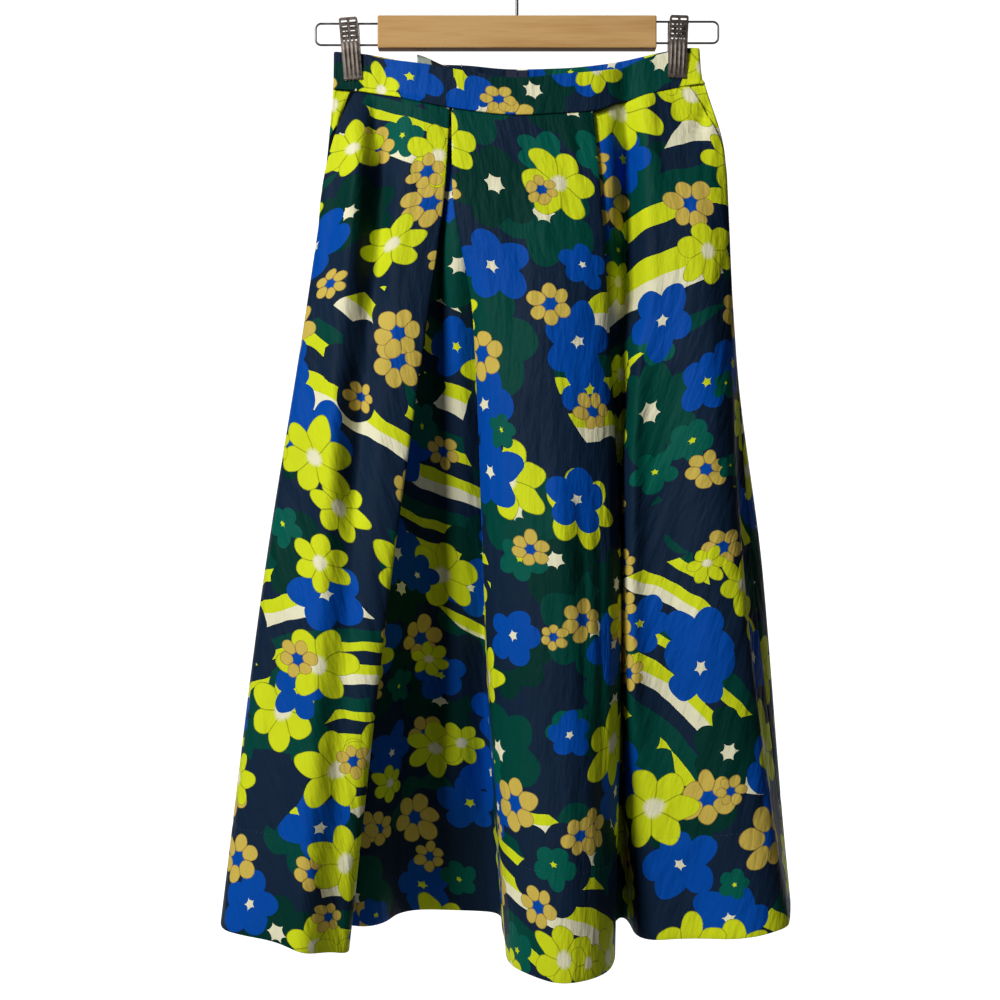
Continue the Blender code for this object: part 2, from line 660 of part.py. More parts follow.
def make_wire_loop(place, collection, steel):
    """A flat wire loop that leaves the bar's end, with both its ends seated in the bar."""
    seat = BAR_SIZE[0] / 2.0 - LOOP_SEAT + SEAM_GAP
    points = [(place.sign * seat, 0.0, place.upper_wire)]
    corners = ((place.upper_wire - LOOP_CORNER, 90.0), (place.lower_wire + LOOP_CORNER, 0.0))
    for height, first_angle in corners:
        for turn in np.linspace(0.0, 90.0, LOOP_CORNER_POINTS):
            angle = math.radians(first_angle - turn)
            x = LOOP_END - LOOP_CORNER + LOOP_CORNER * math.cos(angle)
            points.append((place.sign * x, 0.0, height + LOOP_CORNER * math.sin(angle)))
    points.append((place.sign * seat, 0.0, place.lower_wire))
    tube("wire_loop_" + place.side, points, LOOP_WIRE, steel, collection)


def make_clip_plate(name, facing, ear_x, collection, steel):
    """A bent plate with two ears that the lower wire runs through, facing -Y (-1) or +Y (+1)."""
    half = CLIP_WIDTH / 2.0
    columns = np.array((-half, -half / 3.0, half / 3.0, half))
    if facing > 0:
        columns = columns[::-1]
    points = np.array([
        [(x, facing * row.out * MM, row.height * MM) for x in columns] for row in PLATE_PROFILE])
    plate = sheet_object(name, points, CLIP_WALL, steel, collection)
    plate.data.shade_flat()
    for sign in (-1, 1):
        centre = (sign * ear_x, facing * EAR_OUT, EAR_RISE)
        ear = box(name + "_ear", centre, EAR_SIZE, collection)
        cut(plate, ear, "UNION")
        ear.parent = plate
    bore = cylinder(name + "_bore", (0.0, 0.0, 0.0), "X", CLIP_BORE, 2.0 * CLIP_WIDTH, 16, collection)
    cut(plate, bore)
    bore.parent = plate
    return plate


def make_clip_spring(name, collection, steel):
    """A coil round the lower wire with a leg up to each plate."""
    turns = SPRING_TURNS + 0.5
    length = turns * SPRING_PITCH
    steps = int(turns * SPRING_STEPS)
    points = [(-length / 2.0 - SPRING_WIRE, -SPRING_LEG_OUT, SPRING_LEG)]
    for step in range(steps + 1):
        share = step / steps
        angle = math.pi + 2.0 * math.pi * turns * share
        points.append((
            length * (share - 0.5),
            SPRING_RADIUS * math.cos(angle),
            SPRING_RADIUS * math.sin(angle)))
    points.append((length / 2.0 + SPRING_WIRE, SPRING_LEG_OUT, SPRING_LEG))
    return tube(name, points, SPRING_WIRE, steel, collection)


def make_clip(place, collection, steel):
    """A clip: two plates and the spring between them, on the lower wire of its loop."""
    pivot = (place.clip_x, 0.0, place.lower_wire)
    turn = (0.0, math.radians(place.clip_tilt_deg), 0.0)
    name = "clip_" + place.side
    pieces = (
        make_clip_plate(name + "_front", -1, FRONT_EAR_X, collection, steel),
        make_clip_plate(name + "_back", 1, BACK_EAR_X, collection, steel),
        make_clip_spring(name + "_spring", collection, steel),
    )
    for piece in pieces:
        piece.location = pivot
        piece.rotation_euler = turn


def main():
    """Build the whole part."""
    clear_scene()
    collection = make_collection("a_line_skirt_on_hanger")
    cloth_paint = make_material("printed_cotton", (0.02, 0.05, 0.16), 0.6)
    tape_paint = make_material("zip_tape", (0.015, 0.02, 0.06), 0.8)
    label_paint = make_material("label_satin", (0.55, 0.6, 0.55), 0.5)
    wood = make_material("pale_wood", (0.58, 0.36, 0.15), 0.5)
    steel = make_material("dull_steel", (0.16, 0.15, 0.14), 0.35, metallic=1.0)

    front_paths = paths_of(FRONT_LINES)
    back_paths = {"left": paths_of(BACK_LEFT_LINES), "right": paths_of(BACK_RIGHT_LINES)}
    left_seam = middle_of(front_paths[0], back_paths["left"][0])
    right_seam = middle_of(front_paths[-1], back_paths["right"][-1])
    centre_seam = middle_of(back_paths["left"][-1], back_paths["right"][0])
    front = SkirtPanel(FRONT_LINES, left_seam, right_seam, "front")
    backs = {
        "left": SkirtPanel(BACK_LEFT_LINES, left_seam, centre_seam, "back"),
        "right": SkirtPanel(BACK_RIGHT_LINES, centre_seam, right_seam, "back"),
    }

    band_front = paths_of(BAND_FRONT_LINES)
    band_left = paths_of(BAND_BACK_LEFT_LINES)
    band_right = paths_of(BAND_BACK_RIGHT_LINES)
    left_end = middle_of(band_front[0], band_left[0])
    right_end = middle_of(band_front[-1], band_right[-1])
    centre_end = middle_of(band_left[-1], band_right[0])
    bands = {
        "front": BandPanel(BAND_FRONT_LINES, left_end, right_end, "front"),
        "back_left": BandPanel(BAND_BACK_LEFT_LINES, left_end, centre_end, "back"),
        "back_right": BandPanel(BAND_BACK_RIGHT_LINES, centre_end, right_end, "back"),
    }

    make_skirt(front, backs, collection, cloth_paint)
    make_pocket_facings(front, collection, cloth_paint)
    make_waistband(bands, collection, cloth_paint)
    make_zip_tape(backs, bands, collection, tape_paint)
    make_zip_slider(bands["back_left"], collection, steel)
    make_label(bands["back_left"], collection, label_paint)
    make_bar(collection, wood)
    make_hook(collection, steel)
    for place in SIDES:
        make_wire_loop(place, collection, steel)
        make_clip(place, collection, steel)


main()
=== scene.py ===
"""Dresses the a-line skirt on its clip hanger in printed cotton, wood, steel and thread.

The cloth is cut, folded and hung by the same tables as its solids, as thin shells with a turned-up hem,
a doubled waistband and soft creases. Lengths in tables are in millimetres, the rest is in metres.
"""
import math
from collections import namedtuple
from itertools import accumulate

import bmesh
import bpy
import numpy as np
from mathutils import Matrix, Vector, noise


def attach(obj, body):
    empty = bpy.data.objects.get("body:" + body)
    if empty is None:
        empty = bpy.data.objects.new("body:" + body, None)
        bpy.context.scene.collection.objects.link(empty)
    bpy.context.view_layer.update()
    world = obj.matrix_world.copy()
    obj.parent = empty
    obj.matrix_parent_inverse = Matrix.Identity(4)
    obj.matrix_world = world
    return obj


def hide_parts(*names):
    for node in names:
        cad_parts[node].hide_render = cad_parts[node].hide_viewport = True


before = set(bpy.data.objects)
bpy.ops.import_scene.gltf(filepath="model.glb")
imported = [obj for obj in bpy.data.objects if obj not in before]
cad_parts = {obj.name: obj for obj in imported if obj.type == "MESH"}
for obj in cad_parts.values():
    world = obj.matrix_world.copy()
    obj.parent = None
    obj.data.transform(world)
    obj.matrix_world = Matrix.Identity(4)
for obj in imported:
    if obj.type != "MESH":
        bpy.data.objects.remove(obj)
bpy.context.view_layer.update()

MM = 0.001
FULL_TURN = 2.0 * math.pi


def mm(value):
    """Millimetres as metres, in one number or in each number of a tuple."""
    return tuple(mm(part) for part in value) if isinstance(value, tuple) else value * MM


def rows_of(kind, rows):
    """A table's rows, read by the names of their kind."""
    return tuple(kind(*row) for row in rows)


def new_object(name, data):
    """An object in the scene that holds this data."""
    made = bpy.data.objects.new(name, data)
    bpy.context.scene.collection.objects.link(made)
    return made


def stand_for(piece, node):
    """Hide the node that a piece stands for, and attach the piece to the root body."""
    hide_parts(node)
    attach(piece, "root")


# ---- camera, light and room

CAMERA_PLACE = (-0.0156, -1.4, -0.5197)
CAMERA_LENS = 54.96
SENSOR = 36.0
FLOOR_Z = -1.25
WALL_Y = 2.6
COVE_RADIUS = 1.2
ROOM_HALF = 6.0
GLOW_MIDDLE = (0.0, 2.6, -0.5)
GLOW_REACH = (2.15, 2.6)
SKY_LIGHT = 0.022
GLOW_LIGHT = (1.0, 0.03)
SKIRT_MIDDLE = (0.0, 0.0, -0.5)
WHITE = (1.0, 1.0, 1.0, 1.0)

# A square soft box: where it stands, how wide it is and its power in watts
SoftBox = namedtuple("SoftBox", "name place size power")
SOFT_BOXES = rows_of(SoftBox, (
    ("key", (-1.85, -2.3, 0.9), 0.9, 100.0),
    ("fill", (1.3, -2.6, -0.2), 1.6, 1.1),
    ("back_fill", (0.6, 2.2, 0.8), 1.6, 20.0),
))


def make_camera():
    """Look level along +Y at the skirt's middle."""
    data = bpy.data.cameras.new("camera")
    data.lens = CAMERA_LENS
    data.sensor_width = SENSOR
    camera = new_object("camera", data)
    camera.location = CAMERA_PLACE
    camera.rotation_euler = (math.radians(90.0), 0.0, 0.0)
    bpy.context.scene.camera = camera


def make_soft_box(box):
    """A square soft box that faces the skirt's middle."""
    data = bpy.data.lights.new(box.name, "AREA")
    data.size = box.size
    data.energy = box.power
    light = new_object(box.name, data)
    light.location = box.place
    aim = Vector(SKIRT_MIDDLE) - Vector(box.place)
    light.rotation_euler = aim.to_track_quat("-Z", "Y").to_euler()


def white_paper():
    """White paper that glows softly behind the skirt."""
    paper, tree = new_material("white_paper", {
        "Base Color": (0.25, 0.25, 0.25, 1.0), "Roughness": 0.9, "Emission Color": WHITE})
    away = tree.vector("DISTANCE", tree.place(), GLOW_MIDDLE)
    glow = tree.node("MapRange", {
        "Value": away, "From Min": GLOW_REACH[0], "From Max": GLOW_REACH[1],
        "To Min": GLOW_LIGHT[0], "To Max": GLOW_LIGHT[1]}, "Result", interpolation_type="SMOOTHSTEP")
    tree.finish({"Emission Strength": glow})
    return paper


def make_room():
    """A white paper sweep under and behind the skirt, soft boxes and an even sky."""
    scene = bpy.context.scene
    scene.view_settings.view_transform = "Standard"
    world = bpy.data.worlds.new("room")
    world.use_nodes = True
    sky = world.node_tree.nodes["Background"]
    sky.inputs["Color"].default_value = WHITE
    sky.inputs["Strength"].default_value = SKY_LIGHT
    scene.world = world
    for box in SOFT_BOXES:
        make_soft_box(box)

    profile = [(-ROOM_HALF, FLOOR_Z)]
    for turn in np.linspace(0.0, math.pi / 2, 13):
        profile.append((
            WALL_Y - COVE_RADIUS + COVE_RADIUS * math.sin(turn),
            FLOOR_Z + COVE_RADIUS - COVE_RADIUS * math.cos(turn)))
    profile.append((WALL_Y, ROOM_HALF))
    mesh = bpy.data.meshes.new("paper_sweep")
    points = [(x, y, z) for y, z in profile for x in (-ROOM_HALF, ROOM_HALF)]
    faces = [(2 * i, 2 * i + 1, 2 * i + 3, 2 * i + 2) for i in range(len(profile) - 1)]
    mesh.from_pydata(points, [], faces)
    mesh.shade_smooth()
    mesh.materials.append(white_paper())
    sweep = new_object("paper_sweep", mesh)


# ---- the cut of the cloth

FoldLine = namedtuple("FoldLine", "name roll seam pocket hip knee hem")
BandLine = namedtuple("BandLine", "name top grip seam")
WaistPoint = namedtuple("WaistPoint", "x front_top front_seam back_top back_seam")

CLOTH_WALL, BAND_WALL, SEAM_GAP, WAIST_GAP = mm((1.2, 1.6, 0.3, 0.45))
SKIRT_LENGTH, SEAM_ROLL = mm((770.0, 2.9))
ROLL_GROWTH = 1.5
STATIONS = np.array((0.0, 0.09, 0.25, 0.60, 1.0))
BAND_STATIONS = np.array((0.0, 0.84, 1.0))
HANG_STEPS = 24
# The pocket mouths: how far from the middle each starts and the depth it reaches, over how much of s it
# draws the front back, how far its lip stands out and how far its cloth sinks
MOUTHS = {"left": (149.0 * MM, 0.16), "right": (158.0 * MM, 0.13)}
MOUTH_SPREAD = 4.0
FACING_DROP = CLOTH_WALL + 1.2 * MM
FACING_BEYOND = 0.55
MOUTH_LIP = 14.0 * MM
MOUTH_LIFT = {"left": 2.6 * MM, "right": 0.5 * MM}
MOUTH_SINK = {"left": 9.0 * MM, "right": 1.0 * MM}
MOUTH_SINK_RUN = 0.2
MOUTH_SINK_REACH = 0.3
MOUTH_SINK_LOW = 0.5
# How far the left pocket's bag cloth, whose near-black colour is painted shade for the deep mouth, shows
# beside the mouth, and the depths from which it shows all over; the right one starts past the mouth
SHADE_CLOTH_REACH = 0.2
SHADE_CLOTH_LEAST = 0.1
SHADE_CLOTH_PAST = 0.2
SHADE_CLOTH_LOW = (0.042, 0.056)
# The cloth in a mouth: its columns, those that are printed, its depths, where it starts, how its lower
# end drops behind the front, and its cut
FACING_COLUMNS, PRINT_COLUMNS = 44, 26
FACING_DEPTHS = (0.0, 0.16, 32)
FACING_START = 0.04
FACING_LOW = (0.12, 0.16)
MOUTH_SINK_FROM = (0.04, 0.08)

FRONT_LINES = rows_of(FoldLine, (
    ("left corner", 0, (-168.2, -3.4), (-174.6, -5), (-191.4, -8), (-233.8, -12), (-273, -16)),
    ("left outer", 0, (-160, -2.4), (-166, -9), (-180, -15), (-216, -26), (-246, -34)),
    ("left clip", 0, (-130, -2.6), (-140, -12), (-152, -22), (-182, -34), (-212, -44)),
    ("left panel", 0, (-102, -15.2), (-106, -19), (-116, -26), (-146, -40), (-178, -50)),
    ("left pleat edge", 20, (-61.3, -15.8), (-65.4, -19), (-81.5, -23), (-117.3, -36), (-152.6, -28)),
    ("left pleat inside", 24, (-88, -12.9), (-90, -14.6), (-98, -12), (-134, 2), (-168, 18)),
    ("recess step", 0, (-75, -10), (-77, -10.4), (-86, 1), (-112, 28), (-129.5, 56)),
    ("recess left", 0, (-62, -10), (-63, -10), (-70, 12), (-94, 60), (-111, 108)),
    ("recess right", 0, (-48, -10), (-49, -10), (-50, 13), (-52, 62), (-43.6, 111)),
    ("underlay edge", -34, (-33, -10), (-34, -10), (-31, 12), (-30, 57), (-14, 110)),
    ("centre left edge", -62, (-59.4, -12.9), (-58.6, -15), (-40, -8.5), (-29, 8), (-10.2, 22)),
    ("centre left", 0, (-35, -16.6), (-32, -20.5), (-15, -31), (-4, -48), (12, -68)),
    ("centre crest", 0, (5, -16.8), (12, -22.5), (25, -38), (38, -62), (42, -86)),
    ("centre right", 0, (40, -16.6), (46, -21.5), (60, -33), (76, -46), (78, -58)),
    ("centre right edge", 50, (68.8, -15.6), (75, -18.8), (82.8, -22), (95.5, -14), (90.4, -10)),
    ("right pleat inside", 18, (50, -12.7), (55, -13.4), (70, -8), (87, 24), (90, 52)),
    ("right ridge", 0, (84, -9.6), (84, -13), (88, -5), (92, 45), (96.5, 80)),
    ("right trough", 0, (96, -8.5), (96, -7), (98, 5), (101, 41), (107.4, 72)),
    ("right panel edge", 0, (107, -12.5), (105, -19), (106, -22), (99.5, -12), (110.6, -6)),
    ("right panel", 0, (119, -9.5), (124, -17), (134, -21), (134, -20), (158, -10)),
    ("right clip", 0, (130, -2.8), (146, -11), (160, -23), (174, -33), (205, -42)),
    ("right outer", 0, (161, -2.4), (178, -9), (186, -17), (209, -24), (242, -30)),
    ("right corner", 0, (172.2, -3.4), (190.8, -5), (197.2, -10), (204, 8), (250, -4)),
))

BACK_LEFT_LINES = rows_of(FoldLine, (
    ("left corner", 0, (-168.2, 3.4), (-174.8, 8), (-192, 14), (-234.4, 32), (-273, 60)),
    ("left outer", 0, (-160, 2.4), (-166, 12), (-178, 26), (-212, 66), (-238, 124)),
    ("left valley", 0, (-130, 2.4), (-134, 13), (-140, 24), (-162, 52), (-188, 88)),
    ("left ridge", 0, (-95, 10), (-97, 20), (-104, 38), (-122, 92), (-140, 168)),
    ("centre left", 0, (-45, 13.8), (-45, 20), (-47, 34), (-54, 82), (-62, 146)),
))

BACK_RIGHT_LINES = rows_of(FoldLine, (
    ("centre right", 0, (45, 13.8), (45, 20), (47, 34), (54, 82), (62, 146)),
    ("right ridge", 0, (95, 10), (97, 20), (102, 40), (116, 98), (128, 172)),
    ("right valley", 0, (127, 2.4), (136, 11), (140, 22), (162, 56), (184, 92)),
    ("right outer", 0, (161, 2.4), (180, 10), (186, 26), (226, 80), (252, 136)),
    ("right corner", 0, (172.2, 3.4), (190.8, 6), (197.6, 14), (239, 46), (268, 92)),
))

BAND_FRONT_LINES = rows_of(BandLine, (
    ("left corner", (-167.2, -2.1), (-167.6, -2.1), (-168.2, -3.4)),
    ("left clip outer", (-161, -1.3), (-161, -1.3), (-160, -2.4)),
    ("left clip inner", (-127, -1.3), (-128, -1.5), (-130, -2.4)),
    ("left", (-98, -10.5), (-98, -12.5), (-100, -15.2)),
    ("centre left", (-40, -15.0), (-40, -16.0), (-40, -16.6)),
    ("centre right", (45, -15.5), (45, -16.4), (45, -16.8)),
    ("right", (88, -12.0), (88, -13.0), (90, -13.4)),
    ("right clip inner", (124, -1.3), (125, -1.5), (127, -2.4)),
    ("right clip outer", (159, -1.3), (160, -1.3), (161, -2.4)),
    ("right corner", (166.5, -2.1), (169, -2.1), (172.2, -3.4)),
))

BAND_BACK_LEFT_LINES = rows_of(BandLine, (
    ("left corner", (-167.2, 2.1), (-167.6, 2.1), (-168.2, 3.4)),
    ("left clip outer", (-161, 1.3), (-161, 1.3), (-160, 2.4)),
    ("left clip inner", (-127, 1.3), (-128, 1.5), (-130, 2.4)),
    ("left", (-95, 8.0), (-95, 8.8), (-95, 10.0)),
    ("centre left", (-45, 12.5), (-45, 13.0), (-45, 13.8)),
))

BAND_BACK_RIGHT_LINES = rows_of(BandLine, (
    ("centre right", (45, 12.5), (45, 13.0), (45, 13.8)),
    ("right", (95, 8.0), (95, 8.8), (95, 10.0)),
    ("right clip inner", (124, 1.3), (125, 1.5), (127, 2.4)),
    ("right clip outer", (159, 1.3), (160, 1.3), (161, 2.4)),
    ("right corner", (166.5, 2.1), (169, 2.1), (172.2, 3.4)),
))

WAIST = rows_of(WaistPoint, (
    (-169, -109.0, -143.6, -109.0, -143.6),
    (-145, -110.6, -145.6, -109.8, -144.6),
    (-120, -116.6, -150.4, -112.6, -148.0),
    (-80, -123.6, -160.0, -116.6, -151.6),
    (-50, -129.4, -165.6, -119.0, -154.0),
    (0, -136.6, -170.7, -121.4, -156.4),
    (45, -132.6, -168.8, -120.4, -155.2),
    (70, -130.4, -166.6, -118.6, -153.4),
    (92, -126.0, -157.6, -116.2, -151.0),
    (112, -117.6, -151.2, -113.0, -147.6),
    (135, -110.4, -144.8, -108.6, -143.0),
    (160, -105.6, -139.8, -104.8, -139.2),
    (173, -106.6, -138.6, -106.6, -138.6),
))


def smooth_between(stations, values, t):
    """Read a monotone cubic through values, whose last axis holds the stations, at t."""
    step = np.diff(stations)
    slope = np.diff(values, axis=-1) / step
    before, after = slope[..., :-1], slope[..., 1:]
    same_way = before * after > 0
    total = np.where(same_way, before + after, 1.0)
    tangent = np.empty_like(values)
    tangent[..., 0] = slope[..., 0]
    tangent[..., -1] = slope[..., -1]
    tangent[..., 1:-1] = np.where(same_way, 2.0 * before * after / total, 0.0)
    span = np.clip(np.searchsorted(stations, t, side="right") - 1, 0, len(stations) - 2)
    width = step[span]
    u = (t - stations[span]) / width
    start = values[..., span] * (1 + 2 * u) * (1 - u) ** 2 + tangent[..., span] * width * u * (1 - u) ** 2
    end = values[..., span + 1] * u * u * (3 - 2 * u) + tangent[..., span + 1] * width * u * u * (u - 1)
    return start + end


def waist_height(column, x):
    """Height of one of the waist's edges at these places across, in metres."""
    places = np.array([row.x for row in WAIST]) * MM
    heights = np.array([getattr(row, column) for row in WAIST]) * MM
    return smooth_between(places, heights, np.clip(x, places[0], places[-1]))


def arc_of(path):
    """The distance along a path of points to each of them."""
    return np.concatenate(([0.0], np.cumsum(np.linalg.norm(np.diff(path, axis=0), axis=1))))


def paths_of(lines):
    """The (x, y) of each line at its stations, as an array of lines, axes and stations."""
    table = np.array([[point for point in line if isinstance(point, tuple)] for line in lines])
    return table.transpose(0, 2, 1) * MM


class Cloth:
    """A piece of cloth between two seams, read at s across its lines and t down them."""

    def __init__(self, lines, first_seam, last_seam, side):
        self.side = side
        self.rolls = [getattr(line, "roll", 0) * MM for line in lines]
        self.paths = paths_of(lines)
        self.first_seam = first_seam
        self.last_seam = last_seam
        self.reach = len(self.controls(np.zeros(1))) - 2.0

    def controls(self, t):
        """The section's control points at each t: first seam, lines with their rolls, last seam."""
        rows = [smooth_between(self.stations, self.first_seam, t)]
        for path, roll in zip(self.paths, self.rolls):
            place = smooth_between(self.stations, path, t)
            rows.append(place)
            if roll:
                seam_roll = math.copysign(SEAM_ROLL, roll)
                depth = seam_roll + (roll - seam_roll) * t ** ROLL_GROWTH
                rows.append(place + np.array([np.zeros_like(t), depth]))
        rows.append(smooth_between(self.stations, self.last_seam, t))
        return np.array(rows)

    def plan(self, s, t):
        """The (x, y) on the quadratic spline that the control points make at t."""
        points = self.controls(t)
        count = len(points)
        span = np.clip(np.floor(s).astype(int), 0, count - 3)
        each = np.arange(len(t))
        before, bend, after = (points[span + step, :, each] for step in range(3))
        start = np.where((span == 0)[:, None], before, (before + bend) / 2.0)
        end = np.where((span == count - 3)[:, None], after, (bend + after) / 2.0)
        u = (s - span)[:, None]
        return start * (1 - u) ** 2 + 2 * bend * u * (1 - u) + end * u ** 2

    def at_depth(self, s, depth):
        """The (x, y) at each s, all at one depth t."""
        return self.plan(s, np.full_like(s, depth))

    def edge_gap(self, t, at_end=False):
        """How much of s half a seam gap takes at one end."""
        points = self.controls(t)
        reach = points[-1] - points[-2] if at_end else points[1] - points[0]
        return SEAM_GAP / 2.0 / (2.0 * np.linalg.norm(reach, axis=0))

    def grid(self, t, columns, level):
        """Grids of s and t for the whole piece, stopped half a seam gap short of its ends.

        The columns are spaced by the cloth's width at one level, and closer at its folds.
        """
        s = np.linspace(0.0, self.reach, 1500)
        arc = arc_of(self.at_depth(s, level))
        measure = arc / arc[-1] + s / self.reach
        s = np.interp(np.linspace(0.0, measure[-1], columns), measure, s)
        t_grid, s_grid = np.meshgrid(t, s, indexing="ij")
        s_grid[:, 0] = self.edge_gap(t)
        s_grid[:, -1] = self.reach - self.edge_gap(t, at_end=True)
        return s_grid, t_grid


class SkirtPanel(Cloth):
    """Cloth that hangs from the waistband seam, each of its lines one skirt length long."""
    stations = STATIONS

    def place(self, s, t):
        """The points at s and t, which hang down as far as the line's run aside allows."""
        last = self.plan(s, np.zeros_like(t))
        height = waist_height(self.side + "_seam", last[:, 0]) - WAIST_GAP / 2.0
        for step in range(1, HANG_STEPS + 1):
            here = self.plan(s, t * step / HANG_STEPS)
            aside = np.linalg.norm(here - last, axis=1)
            along = SKIRT_LENGTH * t / HANG_STEPS
            height = height - np.sqrt(np.maximum(along ** 2 - aside ** 2, 0.0))
            last = here
        return np.column_stack((last, height))


class BandPanel(Cloth):
    """Waistband cloth, between the sagging top edge and the waistband seam."""
    stations = BAND_STATIONS

    def place(self, s, t):
        """The points at s and t, from the top edge at 0 to the seam at 1."""
        across = self.plan(s, t)
        top = waist_height(self.side + "_top", across[:, 0])
        seam = waist_height(self.side + "_seam", across[:, 0]) + WAIST_GAP / 2.0
        return np.column_stack((across, top + (seam - top) * t))


def cut_pieces(kind, *lines):
    """The front, back left and back right pieces of one kind, which share their side seams."""
    front, back_left, back_right = map(paths_of, lines)
    left = (front[0] + back_left[0]) / 2.0
    centre = (back_left[-1] + back_right[0]) / 2.0
    right = (front[-1] + back_right[-1]) / 2.0
    return {
        "front": kind(lines[0], left, right, "front"),
        "back_left": kind(lines[1], left, centre, "back"),
        "back_right": kind(lines[2], centre, right, "back"),
    }


# ---- creases

# A crease is a soft trough (depth above 0) or ridge (below 0) between two places on the hanging cloth;
# fade is the share of its length over which it dies out at each end, and it stays on one layer when
# it has a span of s
Crease = namedtuple("Crease", "top bottom width depth bow fade span", defaults=(None,))
RECESS = (8.7, 12.0)
RIGHT_PANEL = (24.0, 28.0)

# The hollow beside the bulge starts in the waistband
BAND_TROUGH = Crease((99, -60), (104, -400), 12.0, 9.0, 0.0, 0.25)
BAND_CREASES = (BAND_TROUGH,)

FRONT_CREASES = rows_of(Crease, (
    # the long soft fold of the left panel, its lit side and its dark side
    ((-141, -144), (-195, -1010), 15.0, -9.0, -6.0, 0.06),
    ((-118, -144), (-170, -1010), 12.0, 8.0, -6.0, 0.06),
    ((-139, -165), (-153, -345), 9.0, -5.0, 0.0, 0.35),
    ((-120, -170), (-133, -385), 10.0, 8.0, 1.0, 0.3),
    ((-129, -140), (-133, -215), 4.4, 4.5, 0.5, 0.5),
    ((-119, -312), (-122, -392), 6.0, 2.2, 2.0, 0.5),
    ((-137, -370), (-148, -570), 9.0, 5.0, -1.0, 0.4),
    ((-158, -370), (-172, -570), 9.0, -4.0, -1.0, 0.4),
    ((-188, -640), (-192, -700), 6.0, 2.0, -2.0, 0.5),
    ((-172, -700), (-176, -742), 5.0, 2.0, 1.0, 0.5),
    ((-214, -560), (-232, -860), 12.0, 2.4, 5.0, 0.5),
    # the raised middle of the recess
    ((-56, -210), (-60, -880), 20.0, -17.0, 5.0, 0.16, RECESS),
    ((-70, -190), (-84, -440), 9.0, 8.0, 0.0, 0.3, RECESS),
    # the bulge's falling side
    ((40, -455), (44, -640), 9.0, -3.4, -1.5, 0.4),
    ((55, -480), (59, -760), 6.0, 4.4, 2.0, 0.4),
    ((70, -486), (74, -860), 6.0, 4.6, 2.0, 0.4),
    ((79, -450), (88, -640), 7.0, -3.4, 0.0, 0.4),
    ((0, -230), (6, -470), 12.0, 2.4, -5.0, 0.5),
    ((30, -640), (24, -900), 12.0, 2.6, 5.0, 0.5),
    # the trough beside the bulge and the panel that rises out of it
    BAND_TROUGH,
    ((102, -150), (104, -385), 8.5, 17.0, 0.0, 0.25),
    ((103, -215), (104, -400), 9.0, 8.0, 0.0, 0.35),
    ((99, -330), (101, -800), 11.0, -15.0, 0.0, 0.2, RIGHT_PANEL),
    # the right panel's crest and its falling side
    ((160, -180), (172, -640), 20.0, -4.0, 0.0, 0.3),
    ((170, -190), (184, -600), 9.0, -1.6, 0.0, 0.3),
    ((189, -190), (206, -620), 9.0, 2.8, 0.0, 0.3),
    ((148, -560), (160, -800), 11.0, 2.4, -5.0, 0.5),
    ((128, -600), (134, -860), 10.0, 2.4, 4.0, 0.5),
    ((177, -146), (159, -204), 5.0, 6.0, 0.0, 0.5),
))

# The right panel's edge lies closer to the bulge than its line: where on the front, how far round it,
# between which heights and by how much
EdgeSlide = namedtuple("EdgeSlide", "s reach top bottom move")
EDGE_SLIDE = EdgeSlide(24.4, 0.9, -400, -900, -5.0)

BACK_CREASES = rows_of(Crease, (
    ((-120, -160), (-140, -960), 13.0, 5.0, 5.0, 0.2),
    ((-70, -200), (-82, -700), 14.0, -4.4, -6.0, 0.4),
    ((70, -200), (84, -640), 12.0, 4.4, 6.0, 0.4),
    ((128, -220), (160, -900), 14.0, -4.4, -5.0, 0.3),
))

CRINKLE_SIZE = 0.055
CRINKLE_DEPTH = 0.9 * MM
SPAN_FADE = 0.8


def smooth_step(share):
    """Rise softly from 0 to 1."""
    share = np.clip(share, 0.0, 1.0)
    return share * share * (3.0 - 2.0 * share)


def crease_relief(creases, points, s):
    """How far the creases move these points into the skirt."""
    x, _, z = points.T
    moved = np.zeros(len(points))
    for crease in creases:
        x_top, z_top = mm(crease.top)
        x_bottom, z_bottom = mm(crease.bottom)
        inside = np.clip((z_top - z) / (z_top - z_bottom), 0.0, 1.0)
        taper = smooth_step(np.minimum(inside, 1.0 - inside) / crease.fade)
        if crease.span:
            first, last = crease.span
            taper = taper * smooth_step((s - first) / SPAN_FADE) * smooth_step((last - s) / SPAN_FADE)
        line = x_top + (x_bottom - x_top) * inside + crease.bow * MM * np.sin(np.pi * inside)
        across = (x - line) / (crease.width * MM)
        moved += crease.depth * MM * taper * np.exp(-across ** 2)
    return moved


def edge_slide(points, s):
    """How far the right panel's edge moves these points across."""
    down = (EDGE_SLIDE.top * MM - points[:, 2]) / ((EDGE_SLIDE.top - EDGE_SLIDE.bottom) * MM)
    taper = smooth_step(np.minimum(down, 1.0 - down) / 0.2)
    return EDGE_SLIDE.move * MM * taper * np.exp(-((s - EDGE_SLIDE.s) / EDGE_SLIDE.reach) ** 2)


def crinkles(points, seed):
    """Slight unevenness of worn cotton, long down the cloth and short across it."""
    out = [noise.noise((x / CRINKLE_SIZE, z / (3.0 * CRINKLE_SIZE), seed)) for x, _, z in points]
    return np.array(out) * CRINKLE_DEPTH


# ---- cloth meshes

SHELL = 0.6 * MM
HEM_DIMPLE = 0.35 * MM
STITCH_LONG = 1.3 * MM
STITCH_THICK = 0.28 * MM
STITCH_SPACING = 4.6 * MM
TURN_RADIUS = 0.7 * MM
TURN_DEPTH = 94.27 * MM / SKIRT_LENGTH
# The angles between a layer of cloth and the one that is folded back on it
HALF_TURN = np.linspace(0.0, math.pi, 6)[1:-1]
# How far a panel's two top rows turn in at the seam, and how far out a band's two lowest rows stand
SEAM_TUCK = mm((1.1, 0.35))
BAND_TUCK = mm((-0.2, 0.35))


